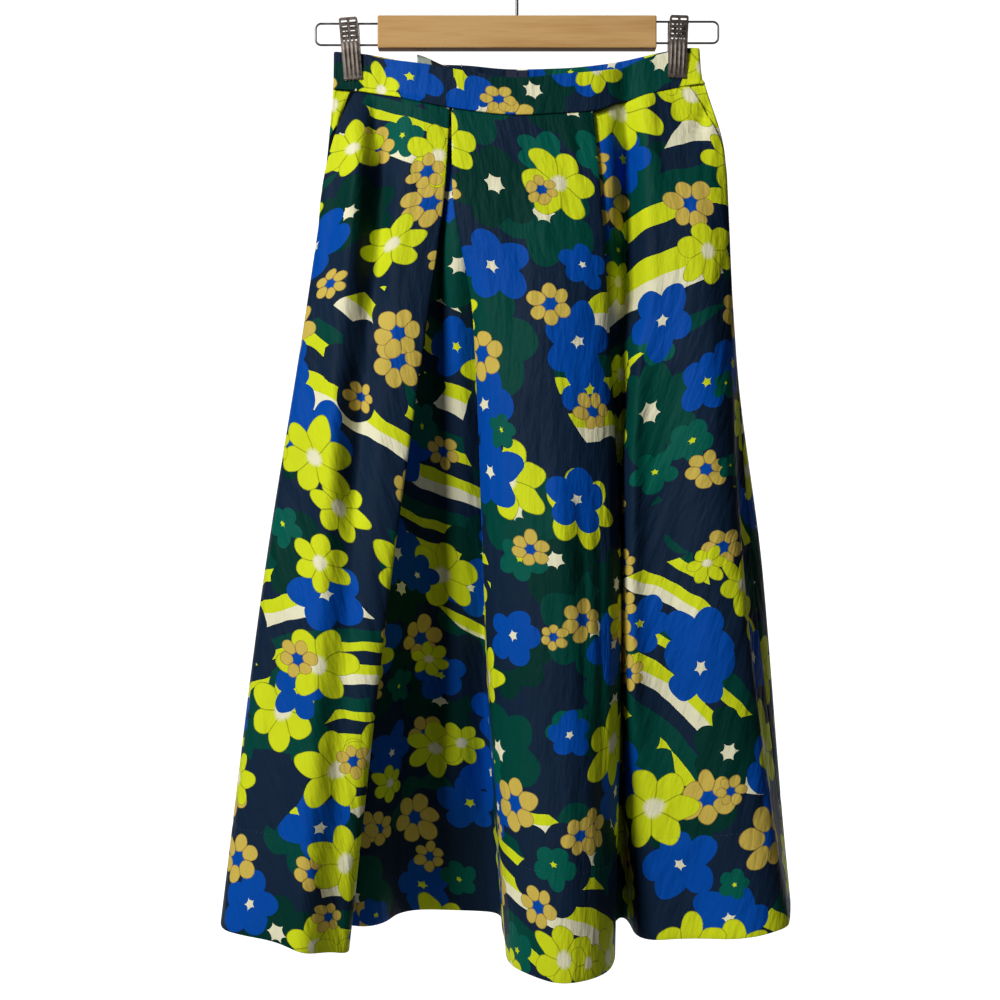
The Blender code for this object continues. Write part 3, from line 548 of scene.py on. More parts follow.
def plan_arc(cloth, s_grid, t_grid):
    """Distance along the cloth across each row of a grid, and the whole width of each row."""
    s = np.linspace(0.0, cloth.reach, 900)
    arcs = [arc_of(cloth.at_depth(s, t)) for t in t_grid[:, 0]]
    places = [np.interp(row, s, arc) for row, arc in zip(s_grid, arcs)]
    return np.array(places), np.array([arc[-1] for arc in arcs])


def fan_map(cloth, s_grid, t_grid, origin):
    """Flat places of a flared panel's points: rows are arcs of a fan and lines down are its rays."""
    arcs, widths = plan_arc(cloth, s_grid, t_grid)
    ends = plan_arc(cloth, np.zeros((2, 1)), np.array([[0.0], [1.0]]))[1]
    seam_radius = SKIRT_LENGTH * ends[0] / (ends[1] - ends[0])
    radius = seam_radius + SKIRT_LENGTH * t_grid
    angle = (arcs - widths[:, None] / 2.0) / radius
    return np.stack((
        origin[0] + radius * np.sin(angle),
        origin[1] - radius * np.cos(angle) + seam_radius), axis=-1)


def inward_normals(points, side):
    """Unit normals of a grid of points, towards the skirt's inside."""
    across = np.gradient(points, axis=1)
    down = np.gradient(points, axis=0)
    normal = np.cross(across, down)
    if side == "back":
        normal = -normal
    return normal / np.maximum(np.linalg.norm(normal, axis=2, keepdims=True), 1e-12)


def sheet_piece(name, points, places, side, materials, wall=SHELL):
    """A closed thin shell of cloth through a grid of points, with its flat places as a UV map."""
    rows, columns = points.shape[:2]
    index = np.arange(rows * columns).reshape(rows, columns)
    quads = np.stack((index[:-1, :-1], index[1:, :-1], index[1:, 1:], index[:-1, 1:]), axis=-1)
    if side == "back":
        quads = quads[..., ::-1]
    quads = quads.reshape(-1, 4)
    mesh = bpy.data.meshes.new(name)
    mesh.from_pydata(points.reshape(-1, 3).tolist(), [], quads.tolist())
    layer = mesh.uv_layers.new(name="print")
    layer.data.foreach_set("uv", places.reshape(-1, 2)[quads.ravel()].ravel().astype(np.float32))
    mesh.shade_smooth()
    for material in materials:
        mesh.materials.append(material)
    piece = new_object(name, mesh)
    shell = piece.modifiers.new("wall", "SOLIDIFY")
    shell.thickness = wall
    shell.offset = 0.0
    shell.material_offset = len(materials) - 1
    return piece


def mouth_s(front, side):
    """Where the pocket's mouth starts on the seam, as a distance in s from that side's end."""
    s = np.linspace(0.0, front.reach, 400)
    x = front.at_depth(s, 0.0)[:, 0]
    mouth_x = MOUTHS[side][0]
    if side == "left":
        return s[np.argmax(x > -mouth_x)]
    return front.reach - s[len(s) - 1 - np.argmax(x[::-1] < mouth_x)]


def mouth_slant(side, t):
    """How much of the mouth's width at the seam is left at each depth t."""
    return np.clip(1.0 - t / MOUTHS[side][1], 0.0, 1.0)


def cut_mouths(front, s_grid, t_grid):
    """Draw the front's upper corners back to the slanted pocket mouths."""
    for side, way, from_edge in (("left", 1.0, s_grid.copy()), ("right", -1.0, front.reach - s_grid)):
        near = np.clip(1.0 - from_edge / MOUTH_SPREAD, 0.0, 1.0)
        s_grid += way * (mouth_s(front, side) * mouth_slant(side, t_grid) * near)


def mouth_gape(side, t):
    """How far open a pocket's mouth stands at this depth, from 0 to 1."""
    return np.sin(np.pi * mouth_slant(side, t)) ** 0.8


def make_panel(make, panel, materials, thread):
    """A skirt panel with its creases, its seam allowance tucked in and its hem turned up."""
    columns, rows = make.size
    t = np.concatenate(((0.0, 0.002, 0.005), np.linspace(0.01, 1.0, rows)))
    s_grid, t_grid = panel.grid(t, columns, 0.8)
    is_front = panel.side == "front"
    if is_front:
        cut_mouths(panel, s_grid, t_grid)
    s, t = s_grid.ravel(), t_grid.ravel()
    flat = panel.place(s, t)
    ease = np.clip(t / 0.08, 0.0, 1.0)
    if is_front:
        flat[:, 0] += edge_slide(flat, s)
    inward = crease_relief(make.creases, flat, s) + ease * crinkles(flat, make.seed)
    flat[:, 1] += inward if is_front else -inward
    points = flat.reshape(*s_grid.shape, 3)
    places = fan_map(panel, s_grid, t_grid, make.origin)
    normals = inward_normals(points, panel.side)
    if is_front:
        arcs, _ = plan_arc(panel, s_grid, t_grid)
        for side, from_edge in (("left", arcs - arcs[:, :1]), ("right", arcs[:, -1:] - arcs)):
            near = np.exp(-(from_edge / MOUTH_LIP) ** 2) * mouth_gape(side, t_grid)
            points -= normals * (near * MOUTH_LIFT[side])[..., None]

    for row, tuck in enumerate(SEAM_TUCK):
        points[row] += normals[row] * tuck
    sewn_row = int(np.argmin(np.abs(t_grid[:, 0] - (1.0 - TURN_DEPTH))))
    points[sewn_row] += normals[sewn_row] * HEM_DIMPLE
    outside = points[sewn_row] - normals[sewn_row] * (SHELL / 2.0 + STITCH_THICK / 3.0)
    sewn_line(make.name + "_hem_stitches", outside, -normals[sewn_row], STITCH_SPACING, thread)

    hem, inner, below = points[-1], normals[-1], points[-1] - points[-2]
    below = below / np.linalg.norm(below, axis=1, keepdims=True)
    turn_rows = [hem + below * TURN_RADIUS * math.sin(angle) + inner * TURN_RADIUS * (1.0 - math.cos(angle))
                 for angle in HALF_TURN]
    turned = np.flatnonzero(t_grid[:, 0] > 1.0 - TURN_DEPTH)[::-1][::2]
    points = np.concatenate((points, turn_rows, points[turned] + normals[turned] * 2.0 * TURN_RADIUS))
    places = np.concatenate((places, [places[-1]] * len(turn_rows), 2.0 * places[-1] - places[turned]))
    return sheet_piece(make.name, points, places, panel.side, materials)


# Where the back band's top edge stands higher or lower: the place across, how far it reaches, the move
BAND_WAVES = mm(((-100.0, 32.0, -1.6), (-46.0, 24.0, 1.3)))

# How each panel is made: its columns and rows, its place on the printed cloth, its creases, its seed,
# its cut and the band that it hangs from
PanelMake = namedtuple("PanelMake", "side name size origin creases seed flat area band")
PANEL_MAKES = rows_of(PanelMake, (
    ("front", "front_panel", (250, 150), (0.0, 0.0), FRONT_CREASES, 1.0, (1.2, 0.88), 0.66, "band_front"),
    ("back_left", "back_panel_left", (84, 130), (1.3, 0.2), BACK_CREASES, 5.0, (0.42, 0.88), 0.24,
     "band_back_left"),
    ("back_right", "back_panel_right", (84, 130), (2.1, 0.1), BACK_CREASES, 9.0, (0.42, 0.88), 0.24,
     "band_back_right"),
))
BandMake = namedtuple("BandMake", "side columns origin held_by")
BAND_MAKES = rows_of(BandMake, (
    ("front", 130, (0.3, 1.4), ("clip_left_front", "clip_right_front")),
    ("back_left", 70, (0.6, 2.3), ("clip_left_back",)),
    ("back_right", 70, (2.6, 0.9), ("clip_right_back",)),
))


def make_skirt(skirt, materials, thread):
    """The front and the two backs, each with its sewn hem."""
    for make in PANEL_MAKES:
        piece = make_panel(make, skirt[make.side], materials, thread)
        stand_for(piece, "skirt_" + make.side)


def make_band(make, band, materials):
    """A doubled strip: up its outer side, over the top fold and down its inner side."""
    t = np.concatenate((np.linspace(1.0, 0.97, 3), np.linspace(0.93, 0.02, 14)))
    s_grid, t_grid = band.grid(t, make.columns, 0.5)
    s, t = s_grid.ravel(), t_grid.ravel()
    middle = band.place(s, t)
    if band.side == "front":
        middle[:, 1] += crease_relief(BAND_CREASES, middle, s)
    else:
        for x, reach, move in BAND_WAVES:
            middle[:, 2] += move * np.exp(-((middle[:, 0] - x) / reach) ** 2) * (1.0 - t)
    middle = middle.reshape(*s_grid.shape, 3)
    outward = inward_normals(middle, band.side)
    half = BAND_WALL / 2.0 - SHELL / 2.0
    reach = np.full(s_grid.shape, half)
    for row, tuck in enumerate(BAND_TUCK):
        reach[row] = tuck
    outer = middle + outward * reach[..., None]
    inner = (middle - outward * half)[::-1]
    up = middle[-1] - middle[-2]
    up = up / np.linalg.norm(up, axis=1, keepdims=True)
    bend = [middle[-1] + outward[-1] * half * math.cos(angle) + up * half * math.sin(angle)
            for angle in HALF_TURN]
    points = np.concatenate((outer, bend, inner))
    arcs, _ = plan_arc(band, s_grid, t_grid)
    depth = np.repeat(arc_of(points[:, make.columns // 2])[:, None], make.columns, axis=1)
    across = np.concatenate((arcs, np.repeat(arcs[-1:], len(bend), axis=0), arcs[::-1]))
    places = np.stack((make.origin[0] + across, make.origin[1] + depth), axis=-1)
    opposite = "back" if band.side == "front" else "front"
    return sheet_piece("band_" + make.side, points, places, opposite, materials)


def make_waistband(bands, materials):
    """The front band and the two back bands."""
    for make in BAND_MAKES:
        band = bands[make.side]
        piece = make_band(make, band, materials)
        stand_for(piece, "waistband_" + make.side)
        width = plan_arc(band, np.zeros((1, 1)), np.array([[0.5]]))[1][0]


def share_of(span, value):
    """How far a value is from the first of two places to the second, from 0 to 1."""
    return np.clip((value - span[0]) / (span[1] - span[0]), 0.0, 1.0)


def make_facings(front, materials, mouth_shade_cloth):
    """The cloth that shows in each pocket mouth, one layer behind the front, and the pocket bag past it,
    whose near-black colour is painted shade.
    """
    columns = np.arange(FACING_COLUMNS)
    t_grid, column = np.meshgrid(np.linspace(*FACING_DEPTHS), columns, indexing="ij")
    for side, origin, way, print_place in (
            ("left", 0.0, 1.0, (0.13, 0.21)), ("right", front.reach, -1.0, (0.0, 0.0))):
        mouth = mouth_s(front, side) * mouth_slant(side, t_grid)
        shade_cloth_from = mouth + SHADE_CLOTH_PAST
        if side == "left":
            low = smooth_step(share_of(SHADE_CLOTH_LOW, t_grid))
            shade_cloth_from = np.maximum(mouth - SHADE_CLOTH_REACH, SHADE_CLOTH_LEAST) * (1.0 - low) + SHADE_CLOTH_LEAST * low
        end = mouth + 2.0 * FACING_BEYOND
        first = FACING_START + (shade_cloth_from - FACING_START) * column / PRINT_COLUMNS
        second = shade_cloth_from + (end - shade_cloth_from) * (column - PRINT_COLUMNS) / (columns[-1] - PRINT_COLUMNS)
        from_side = np.where(column <= PRINT_COLUMNS, first, second)
        s_grid = origin + way * from_side
        if way < 0:
            s_grid = s_grid[:, ::-1]
            from_side = from_side[:, ::-1]
        points = front.place(s_grid.ravel(), t_grid.ravel())
        relief = crease_relief(FRONT_CREASES, points, s_grid.ravel())
        points[:, 1] += relief
        points = points.reshape(*s_grid.shape, 3)
        ease = smooth_step(from_side / FACING_BEYOND)
        reach = MOUTH_SINK_REACH + MOUTH_SINK_LOW * share_of(MOUTH_SINK_FROM, t_grid)
        under = smooth_step((from_side - mouth + reach) / MOUTH_SINK_RUN)
        drop = FACING_DROP * np.maximum(ease, share_of(FACING_LOW, t_grid))
        drop += MOUTH_SINK[side] * mouth_gape(side, t_grid) * under
        points = points + inward_normals(points, "front") * drop[..., None]
        places = fan_map(front, s_grid, t_grid, print_place)
        piece = sheet_piece("pocket_cloth_" + side, points, places, "front", (*materials, mouth_shade_cloth))
        # faces past the printed columns take the pocket bag cloth, its near-black colour painted shade for
        # the deep mouth
        for face in piece.data.polygons:
            from_left = face.index % (FACING_COLUMNS - 1)
            if (from_left if way > 0 else FACING_COLUMNS - 2 - from_left) >= PRINT_COLUMNS:
                face.material_index = 2
        stand_for(piece, "pocket_facing_" + side)


# ---- paints

def paint(red, green, blue):
    """A display colour from 0 to 255 as linear light."""
    channels = []
    for value in (red / 255.0, green / 255.0, blue / 255.0):
        channels.append(value / 12.92 if value <= 0.04045 else ((value + 0.055) / 1.055) ** 2.4)
    return (*channels, 1.0)


NAVY, BLUE = paint(18, 36, 58), paint(0, 72, 164)
DARK_GREEN, DEEP_GREEN, SEA_GREEN = paint(0, 66, 56), paint(0, 50, 42), paint(0, 88, 74)
LIME, OCHRE, CREAM = paint(208, 220, 28), paint(206, 180, 80), paint(234, 230, 196)
LINE_COLOURS = {"lime": paint(132, 140, 18), "ochre": paint(134, 104, 50)}


def sign(operation, swapped=False):
    """The step of arithmetic that one sign stands for."""
    def step(one, other):
        return one.tree.math(operation, *((other, one) if swapped else (one, other)))
    return step


class Value:
    """What a node gives out; each sign adds one step of arithmetic to its tree."""
    __add__, __sub__, __mul__, __truediv__ = map(sign, ("ADD", "SUBTRACT", "MULTIPLY", "DIVIDE"))
    __lt__, __gt__ = sign("LESS_THAN"), sign("GREATER_THAN")
    __rsub__, __rtruediv__ = sign("SUBTRACT", True), sign("DIVIDE", True)

    def __init__(self, tree, socket):
        self.tree, self.socket = tree, socket

    def other(self, name):
        """Another output of the same node."""
        return Value(self.tree, self.socket.node.outputs[name])


class Tree:
    """Adds nodes to a node tree and joins them up."""

    def __init__(self, tree):
        self.tree = tree

    def put(self, socket, value):
        """Link a value to a socket, or set the socket to a number or a tuple."""
        if isinstance(value, Value):
            self.tree.links.new(value.socket, socket)
        else:
            socket.default_value = value

    def node(self, kind, inputs, out=0, **settings):
        """Add a node with these inputs and settings, and give one of its outputs."""
        node = self.tree.nodes.new("ShaderNode" + kind)
        for key, value in settings.items():
            setattr(node, key, value)
        for name, value in inputs.items():
            self.put(node.inputs[name], value)
        return Value(self, node.outputs[out])

    def finish(self, values):
        """Give the material's shader these values."""
        shader = self.tree.nodes["Principled BSDF"]
        for name, value in values.items():
            self.put(shader.inputs[name], value)

    def place(self):
        """Where on its object a point is."""
        return self.node("TexCoord", {}, "Object")

    def flat(self):
        """Where on the uncut cloth a point is."""
        return self.node("UVMap", {}, uv_map="print")

    def parts(self, vector, kind="SeparateXYZ"):
        """The three parts of a vector or a colour."""
        first = self.node(kind, {0: vector})
        return [first.other(number) for number in range(3)]

    def math(self, operation, *values, clamp=False):
        """One step of arithmetic."""
        return self.node("Math", dict(enumerate(values)), operation=operation, use_clamp=clamp)

    def mul_add(self, value, factor, more):
        """A value times a factor, and more."""
        return self.math("MULTIPLY_ADD", value, factor, more)

    def long(self, x, y):
        """How long the line from the origin to x, y is."""
        return self.math("SQRT", self.mul_add(x, x, y * y))

    def vector(self, operation, *values):
        """One step of arithmetic on vectors."""
        out = "Value" if operation == "DISTANCE" else 0
        return self.node("VectorMath", dict(enumerate(values)), out, operation=operation)

    def over(self, share, under, colour, blend="MIX"):
        """One colour laid over another."""
        return self.node("Mix", {0: share, 6: under, 7: colour}, 2, data_type="RGBA", blend_type=blend)

    def noise(self, vector, scale, detail, dimensions="2D", out="Fac"):
        """Cloudy noise, with this many clouds to a metre."""
        inputs = {"Vector": vector, "Scale": scale, "Detail": detail}
        return self.node("TexNoise", inputs, out, noise_dimensions=dimensions)

    def moved(self, vector, location=(0.0, 0.0, 0.0), turn=0.0, scale=(1.0, 1.0, 1.0)):
        """A vector shifted, turned in its plane and scaled."""
        return self.node("Mapping", {
            "Vector": vector, "Location": location, "Rotation": (0.0, 0.0, turn), "Scale": scale})

    def ramp(self, value, stops, interpolation="LINEAR"):
        """A run of colours, one from each place on."""
        made = self.node("ValToRGB", {0: value})
        ramp = made.socket.node.color_ramp
        ramp.interpolation = interpolation
        while len(ramp.elements) < len(stops):
            ramp.elements.new(0.5)
        for element, (position, colour) in zip(ramp.elements, stops):
            element.position = position
            element.color = colour
        return made

    def bump(self, height, distance, strength, under=None):
        """Relief of this depth, over other relief."""
        inputs = {"Strength": strength, "Distance": distance, "Height": height}
        if under is not None:
            inputs["Normal"] = under
        return self.node("Bump", inputs)


def new_material(name, finish):
    """A material whose shader has these values, and the tree that the rest of it is drawn with."""
    material = bpy.data.materials.new(name)
    material.use_nodes = True
    tree = Tree(material.node_tree)
    tree.finish(finish)
    return material, tree


# The flower kinds: radius in mm, petals, where a petal's middle lies and how wide it is against the
# radius, and the size of the pointed star in the middle
FlowerKind = namedtuple("FlowerKind", "name colour radius petals reach wide star")

FLOWER_KINDS = rows_of(FlowerKind, (
    ("lime", LIME, 34, 6, 0.56, 0.31, 0.0),
    ("ochre", OCHRE, 24, 6, 0.63, 0.335, 0.0),
    ("blue", BLUE, 32, 5, 0.56, 0.40, 0.2),
    ("sea", SEA_GREEN, 22, 5, 0.56, 0.39, 0.17),
    ("green", DARK_GREEN, 46, 6, 0.57, 0.37, 0.23),
    ("navy", NAVY, 46, 5, 0.56, 0.40, 0.0),
))

# One scattering each, lowest first. The shares are those of the kinds above, in their order
FlowerField = namedtuple("FlowerField", "spacing size turn shift shares")

FLOWER_FIELDS = rows_of(FlowerField, (
    (118, 1.0, 0.35, (0.31, 0.12), (0.0, 0.0, 0.0, 0.0, 0.72, 0.20)),
    (112, 0.98, 1.15, (0.82, 0.47), (0.0, 0.0, 0.06, 0.0, 0.56, 0.28)),
    (98, 1.0, 0.62, (0.15, 0.73), (0.14, 0.0, 0.48, 0.12, 0.0, 0.08)),
    (104, 0.92, 0.93, (0.57, 0.29), (0.08, 0.22, 0.20, 0.14, 0.06, 0.0)),
    (94, 1.0, 0.21, (0.44, 0.91), (0.36, 0.34, 0.05, 0.04, 0.0, 0.0)),
    (96, 0.66, 1.32, (0.23, 0.38), (0.18, 0.42, 0.08, 0.08, 0.0, 0.0)),
))
RIBBONS_OVER = 1
STAR_CUT = 1.35
PETAL_LINE = 0.55 * MM
RIBBON_STEP = 0.092
RIBBON_STOPS = (
    (0.0, LIME), (0.15, NAVY), (0.34, LIME), (0.47, DARK_GREEN), (0.66, NAVY), (0.84, CREAM))


def flower_group():
    """A field of scattered flowers, one to a cell, with uneven petals and a pointed star in the middle."""
    group = bpy.data.node_groups.new("scattered flowers", "ShaderNodeTree")
    sockets = {"Under": "Color", "Place": "Vector", "Spacing": "Float", "Size": "Float"}
    sockets.update((kind.name, "Float") for kind in FLOWER_KINDS)
    for name, kind in sockets.items():
        group.interface.new_socket(name, in_out="INPUT", socket_type="NodeSocket" + kind)
    group.interface.new_socket("Colour", in_out="OUTPUT", socket_type="NodeSocketColor")
    tree = Tree(group)
    given = {socket.name: Value(tree, socket) for socket in group.nodes.new("NodeGroupInput").outputs}
    cell_colour = tree.node("TexVoronoi", {
        "Vector": given["Place"], "Scale": 1.0 / given["Spacing"], "Randomness": 0.42},
        "Color", voronoi_dimensions="2D", feature="F1")
    turn_lot, kind_lot, size_lot = tree.parts(cell_colour, "SeparateColor")

    reached = None
    picked = {}
    for kind in FLOWER_KINDS:
        below = kind_lot < given[kind.name]
        picked[kind.name] = below if reached is None else below - reached
        reached = below

    def of_kind(fact):
        """This fact about the kind that the cell holds."""
        total = picked[FLOWER_KINDS[0].name] * float(getattr(FLOWER_KINDS[0], fact))
        for kind in FLOWER_KINDS[1:]:
            value = float(getattr(kind, fact))
            if value:
                total = tree.mul_add(picked[kind.name], value, total)
        return total

    x, y, _ = tree.parts(tree.vector("SUBTRACT", given["Place"], cell_colour.other("Position")))
    radius = tree.mul_add(of_kind("radius"), MM, 1e-5) * (tree.mul_add(size_lot, 0.34, 0.8) * given["Size"])
    length = tree.long(x, y)
    out = length / radius
    angle = tree.math("FLOORED_MODULO", tree.math("ARCTAN2", y, x) + turn_lot * FULL_TURN, FULL_TURN)
    sector = FULL_TURN / tree.math("MAXIMUM", of_kind("petals"), 3.0)
    place = angle / sector
    which = tree.math("FLOOR", place)
    fold = (place - which - 0.5) * sector

    seed = tree.node("CombineXYZ", {0: tree.mul_add(turn_lot, 91.7, which), 1: size_lot * 53.3})
    petal_lot = tree.node("TexWhiteNoise", {"Vector": seed}, "Value", noise_dimensions="2D")
    uneven = tree.mul_add(petal_lot - 0.5, 0.22, 1.0)

    along = out * tree.math("COSINE", fold)
    aside = out * tree.math("SINE", fold)
    reach, wide = of_kind("reach"), of_kind("wide")
    u = (along - reach * uneven) / ((1.0 - reach) * uneven)
    v = aside / tree.math("MAXIMUM", wide, 0.1)
    ellipse = tree.long(u, v)
    petal = (ellipse < 1.0) * reached
    edge = (1.0 - ellipse) * wide * radius
    half = sector * 0.5
    split = length * tree.math("SINE", half - tree.math("ABSOLUTE", fold))
    line = tree.math("MINIMUM", edge, split) < PETAL_LINE

    tip = of_kind("star")
    cut = tree.mul_add(tree.math("COSINE", half), -2.0 * STAR_CUT, 1.0 + STAR_CUT ** 2)
    cut = tree.math("SQRT", cut) * tip
    to_cut = tree.long(along - tip * STAR_CUT, aside)
    star = (out < tip) * (to_cut > cut) * reached

    colour = tree.over((out < 0.5) * picked["ochre"], given["Under"], BLUE)
    petals = NAVY
    for kind in FLOWER_KINDS[:-1]:
        petals = tree.over(picked[kind.name], petals, kind.colour)
    petals = tree.over(picked["green"] * (size_lot < 0.45), petals, DEEP_GREEN)
    for name, line_colour in LINE_COLOURS.items():
        petals = tree.over(line * picked[name] * 0.7, petals, line_colour)
    heart = tree.math("SUBTRACT", 1.0, (out - 0.16) * 9.0, clamp=True)
    petals = tree.over(heart * picked["lime"], petals, CREAM)
    hub = (out < 0.3) * (reached - picked["ochre"])
    colour = tree.over(tree.math("MAXIMUM", petal, hub), colour, petals)
    pale = tree.over(picked["sea"], CREAM, LIME)
    pale = tree.over(picked["blue"] * (size_lot < 0.3), pale, LIME)
    result = group.nodes.new("NodeGroupOutput")
    tree.put(result.inputs["Colour"], tree.over(star, colour, pale))
    return group


def ribbon_paint(tree, place, ground):
    """Patches of gently curved stripes on the ground."""
    drift = tree.noise(tree.moved(place, (3.7, 1.9, 0.0)), 2.1, 0.0)
    across = tree.mul_add(drift, 0.36, tree.parts(tree.moved(place, turn=0.25))[1])
    stripes = tree.ramp(tree.math("FRACT", across / RIBBON_STEP), RIBBON_STOPS, "CONSTANT")
    patch = tree.noise(tree.moved(place, (8.1, 4.4, 0.0)), 4.6, 0.0)
    return tree.over(patch > 0.54, ground, stripes)


def print_colour(tree, flat):
    """The whole print, at flat places in metres."""
    place = flat
    for scale, detail, reach in ((2.8, 0.0, 0.055), (30.0, 1.0, 0.0075)):
        cloudy = tree.noise(flat, scale, detail, out="Color")
        aside = tree.node("VectorMath", {
            0: tree.vector("SUBTRACT", cloudy, (0.5, 0.5, 0.5)), "Scale": reach}, operation="SCALE")
        place = tree.vector("ADD", place, aside)
    group = flower_group()
    colour = NAVY
    for number, field in enumerate(FLOWER_FIELDS):
        if number == RIBBONS_OVER:
            colour = ribbon_paint(tree, place, colour)
        inputs = {"Under": colour, "Place": tree.moved(place, (*field.shift, 0.0), field.turn),
                  "Spacing": field.spacing * MM, "Size": field.size}
        inputs.update(zip([kind.name for kind in FLOWER_KINDS], accumulate(field.shares)))
        colour = tree.node("Group", inputs, "Colour", node_tree=group)
    return colour


def cotton(name, faded):
    """Printed cotton sateen; its reverse is the same print, paler."""
    material, tree = new_material(name, {"Roughness": 0.6, "Specular IOR Level": 0.06})
    flat = tree.flat()
    colour = print_colour(tree, flat)
    shade = tree.mul_add(tree.noise(flat, 9.0, 3.0), 0.22, 0.89)
    colour = tree.over(1.0, colour, tree.node("CombineColor", dict.fromkeys(range(3), shade)), "MULTIPLY")
    if faded:
        colour = tree.over(0.6, colour, paint(206, 204, 186))

    weave = tree.noise(flat, 1400.0, 1.0)
    soft = tree.noise(tree.moved(flat, turn=0.15, scale=(1.0, 0.25, 1.0)), 70.0, 3.0)
    worn = tree.noise(tree.moved(flat, turn=-0.2, scale=(1.0, 0.35, 1.0)), 46.0, 4.0)
    relief = tree.bump(soft, 5.0 * MM, 0.6)
    relief = tree.bump(tree.math("ABSOLUTE", worn - 0.5), 4.0 * MM, 0.55, relief)
    tree.finish({"Base Color": colour, "Normal": tree.bump(weave, 0.1 * MM, 0.25, relief)})
    return material


def pocket_lining():
    """Plain pocket bag cotton with a fine weave, its near-black colour painted shade for the deep pocket
    mouth.
    """
    material, tree = new_material("pocket_lining", {"Roughness": 0.9, "Specular IOR Level": 0.03})
    weave = tree.noise(tree.place(), 1400.0, 1.0, "3D")
    # painted shade: near-black colours, so that the pocket mouth reads as deep shadow
    tree.finish({"Base Color": tree.ramp(weave, ((0.3, paint(10, 12, 16)), (0.7, paint(20, 22, 30)))),
                 "Normal": tree.bump(weave, 0.1 * MM, 0.25)})
    return material


def pale_wood():
    """Waxed pale wood whose grain runs along the bar, with painted shade in dark brown on its underside."""
    material, tree = new_material("pale_wood", {"Specular IOR Level": 0.04})
    place = tree.place()
    grain = tree.noise(tree.moved(place, scale=(0.06, 1.0, 1.0)), 420.0, 4.0, "3D")
    bands = tree.noise(tree.moved(place, scale=(0.12, 1.0, 1.0)), 90.0, 2.0, "3D")
    colour = tree.ramp(tree.mul_add(bands, 0.6, grain * 0.4), (
        (0.3, paint(186, 142, 88)), (0.45, paint(198, 156, 100)), (0.6, paint(206, 166, 110)),
        (0.72, paint(192, 148, 94))))
    # painted shade: the bar's underside and the lowest sliver of its front are dark brown, for the shade
    # beneath the bar
    below = tree.parts(place)[2] < WOOD_TOP - WOOD_HEIGHT + WOOD_SHADE_RISE
    tree.finish({"Base Color": tree.over(below, colour, paint(104, 64, 10)),
                 "Roughness": tree.mul_add(grain, 0.2, 0.38),
                 "Normal": tree.bump(grain, 0.15 * MM, 0.3)})
    return material


def darker(colour, share):
    """A colour with this share of its light."""
    return (*(channel * share for channel in colour[:3]), 1.0)


def metal(name, colour, roughness, wear_scale):
    """Brushed or drawn metal with an uneven dull film."""
    material, tree = new_material(name, {"Metallic": 1.0})
    film = tree.noise(tree.place(), wear_scale, 4.0, "3D")
    tree.finish({"Base Color": tree.ramp(film, ((0.35, darker(colour, 0.55)), (0.62, colour))),
                 "Roughness": tree.mul_add(film, 0.25, roughness),
                 "Normal": tree.bump(film, 0.05 * MM, 0.3)})
    return material


def woven_tape():
    """Navy polyester tape with a fine rib across it."""
    material, tree = new_material("zip_tape_cloth", {"Roughness": 0.8})
    ribs = tree.node("TexWave", {"Vector": tree.place(), "Scale": 260.0, "Distortion": 0.4}, "Fac",
                     wave_type="BANDS", bands_direction="Z")
    tree.finish({"Base Color": tree.ramp(ribs, ((0.0, paint(16, 24, 48)), (1.0, paint(26, 36, 66)))),
                 "Normal": tree.bump(ribs, 0.2 * MM, 0.5)})
    return material


def label_satin():
    """Folded satin ribbon, grey green with a black wedge at its right."""
    material, tree = new_material("label_satin", {"Roughness": 0.35, "Sheen Weight": 0.3})
    across, down, _ = tree.parts(tree.flat())
    wedge = tree.mul_add(down, 0.3, across) > 0.56
    weft = tree.noise(tree.moved(tree.place(), scale=(1.0, 1.0, 0.08)), 2600.0, 1.0, "3D")
    pale = tree.ramp(weft, ((0.3, paint(150, 166, 152)), (0.7, paint(178, 190, 174))))
    tree.finish({"Base Color": tree.over(wedge, pale, paint(14, 16, 22)),
                 "Normal": tree.bump(weft, 0.1 * MM, 0.4)})
    return material


LABEL_ACROSS = mm((-92.0, -63.0))
LABEL_RISE, LABEL_DOWN, LABEL_WALL = mm((6.0, 11.0, 0.5))
# The tacks beside the label, as x and the heights they run between
TACKS = mm(((-51.2, -117.0, -119.9), (-65.6, -117.6, -119.1)))
TACK_SIZE = mm((1.4, 0.7, 0.7))


def sewing_thread(name, colour):
    """Twisted thread."""
    material, tree = new_material(name, {"Roughness": 0.7})
    fuzz = tree.noise(tree.place(), 3000.0, 2.0, "3D")
    tree.finish({"Base Color": tree.ramp(fuzz, ((0.3, darker(colour, 0.6)), (0.7, colour)))})
    return material


# ---- the hanger

WOOD_TOP, WOOD_HEIGHT, WOOD_HALF, WOOD_SHADE_RISE = mm((-76.9, 30.0, 127.5, 0.3))
HOOK_WIRE, HOOK_RADIUS, HOOK_SEAT = mm((1.4, 22.0, 12.0))
HOOK_STEM = mm((4.0, 12.0, 20.0))
HOOK_NECK = mm((1.4, 3.0))
HOOK_TURN = (math.radians(-72.0), math.radians(204.0))
LOOP_WIRE, LOOP_END, LOOP_CORNER, LOOP_SEAT = mm((1.0, 184.5, 5.0, 10.0))

SidePlace = namedtuple("SidePlace", "side sign upper_wire lower_wire clip_x clip_tilt_deg")
SIDES = rows_of(SidePlace, (
    ("left", -1, *mm((-83.0, -102.6, -152.4)), -4.5),
    ("right", 1, *mm((-81.2, -100.8, 147.2)), 1.6),
))

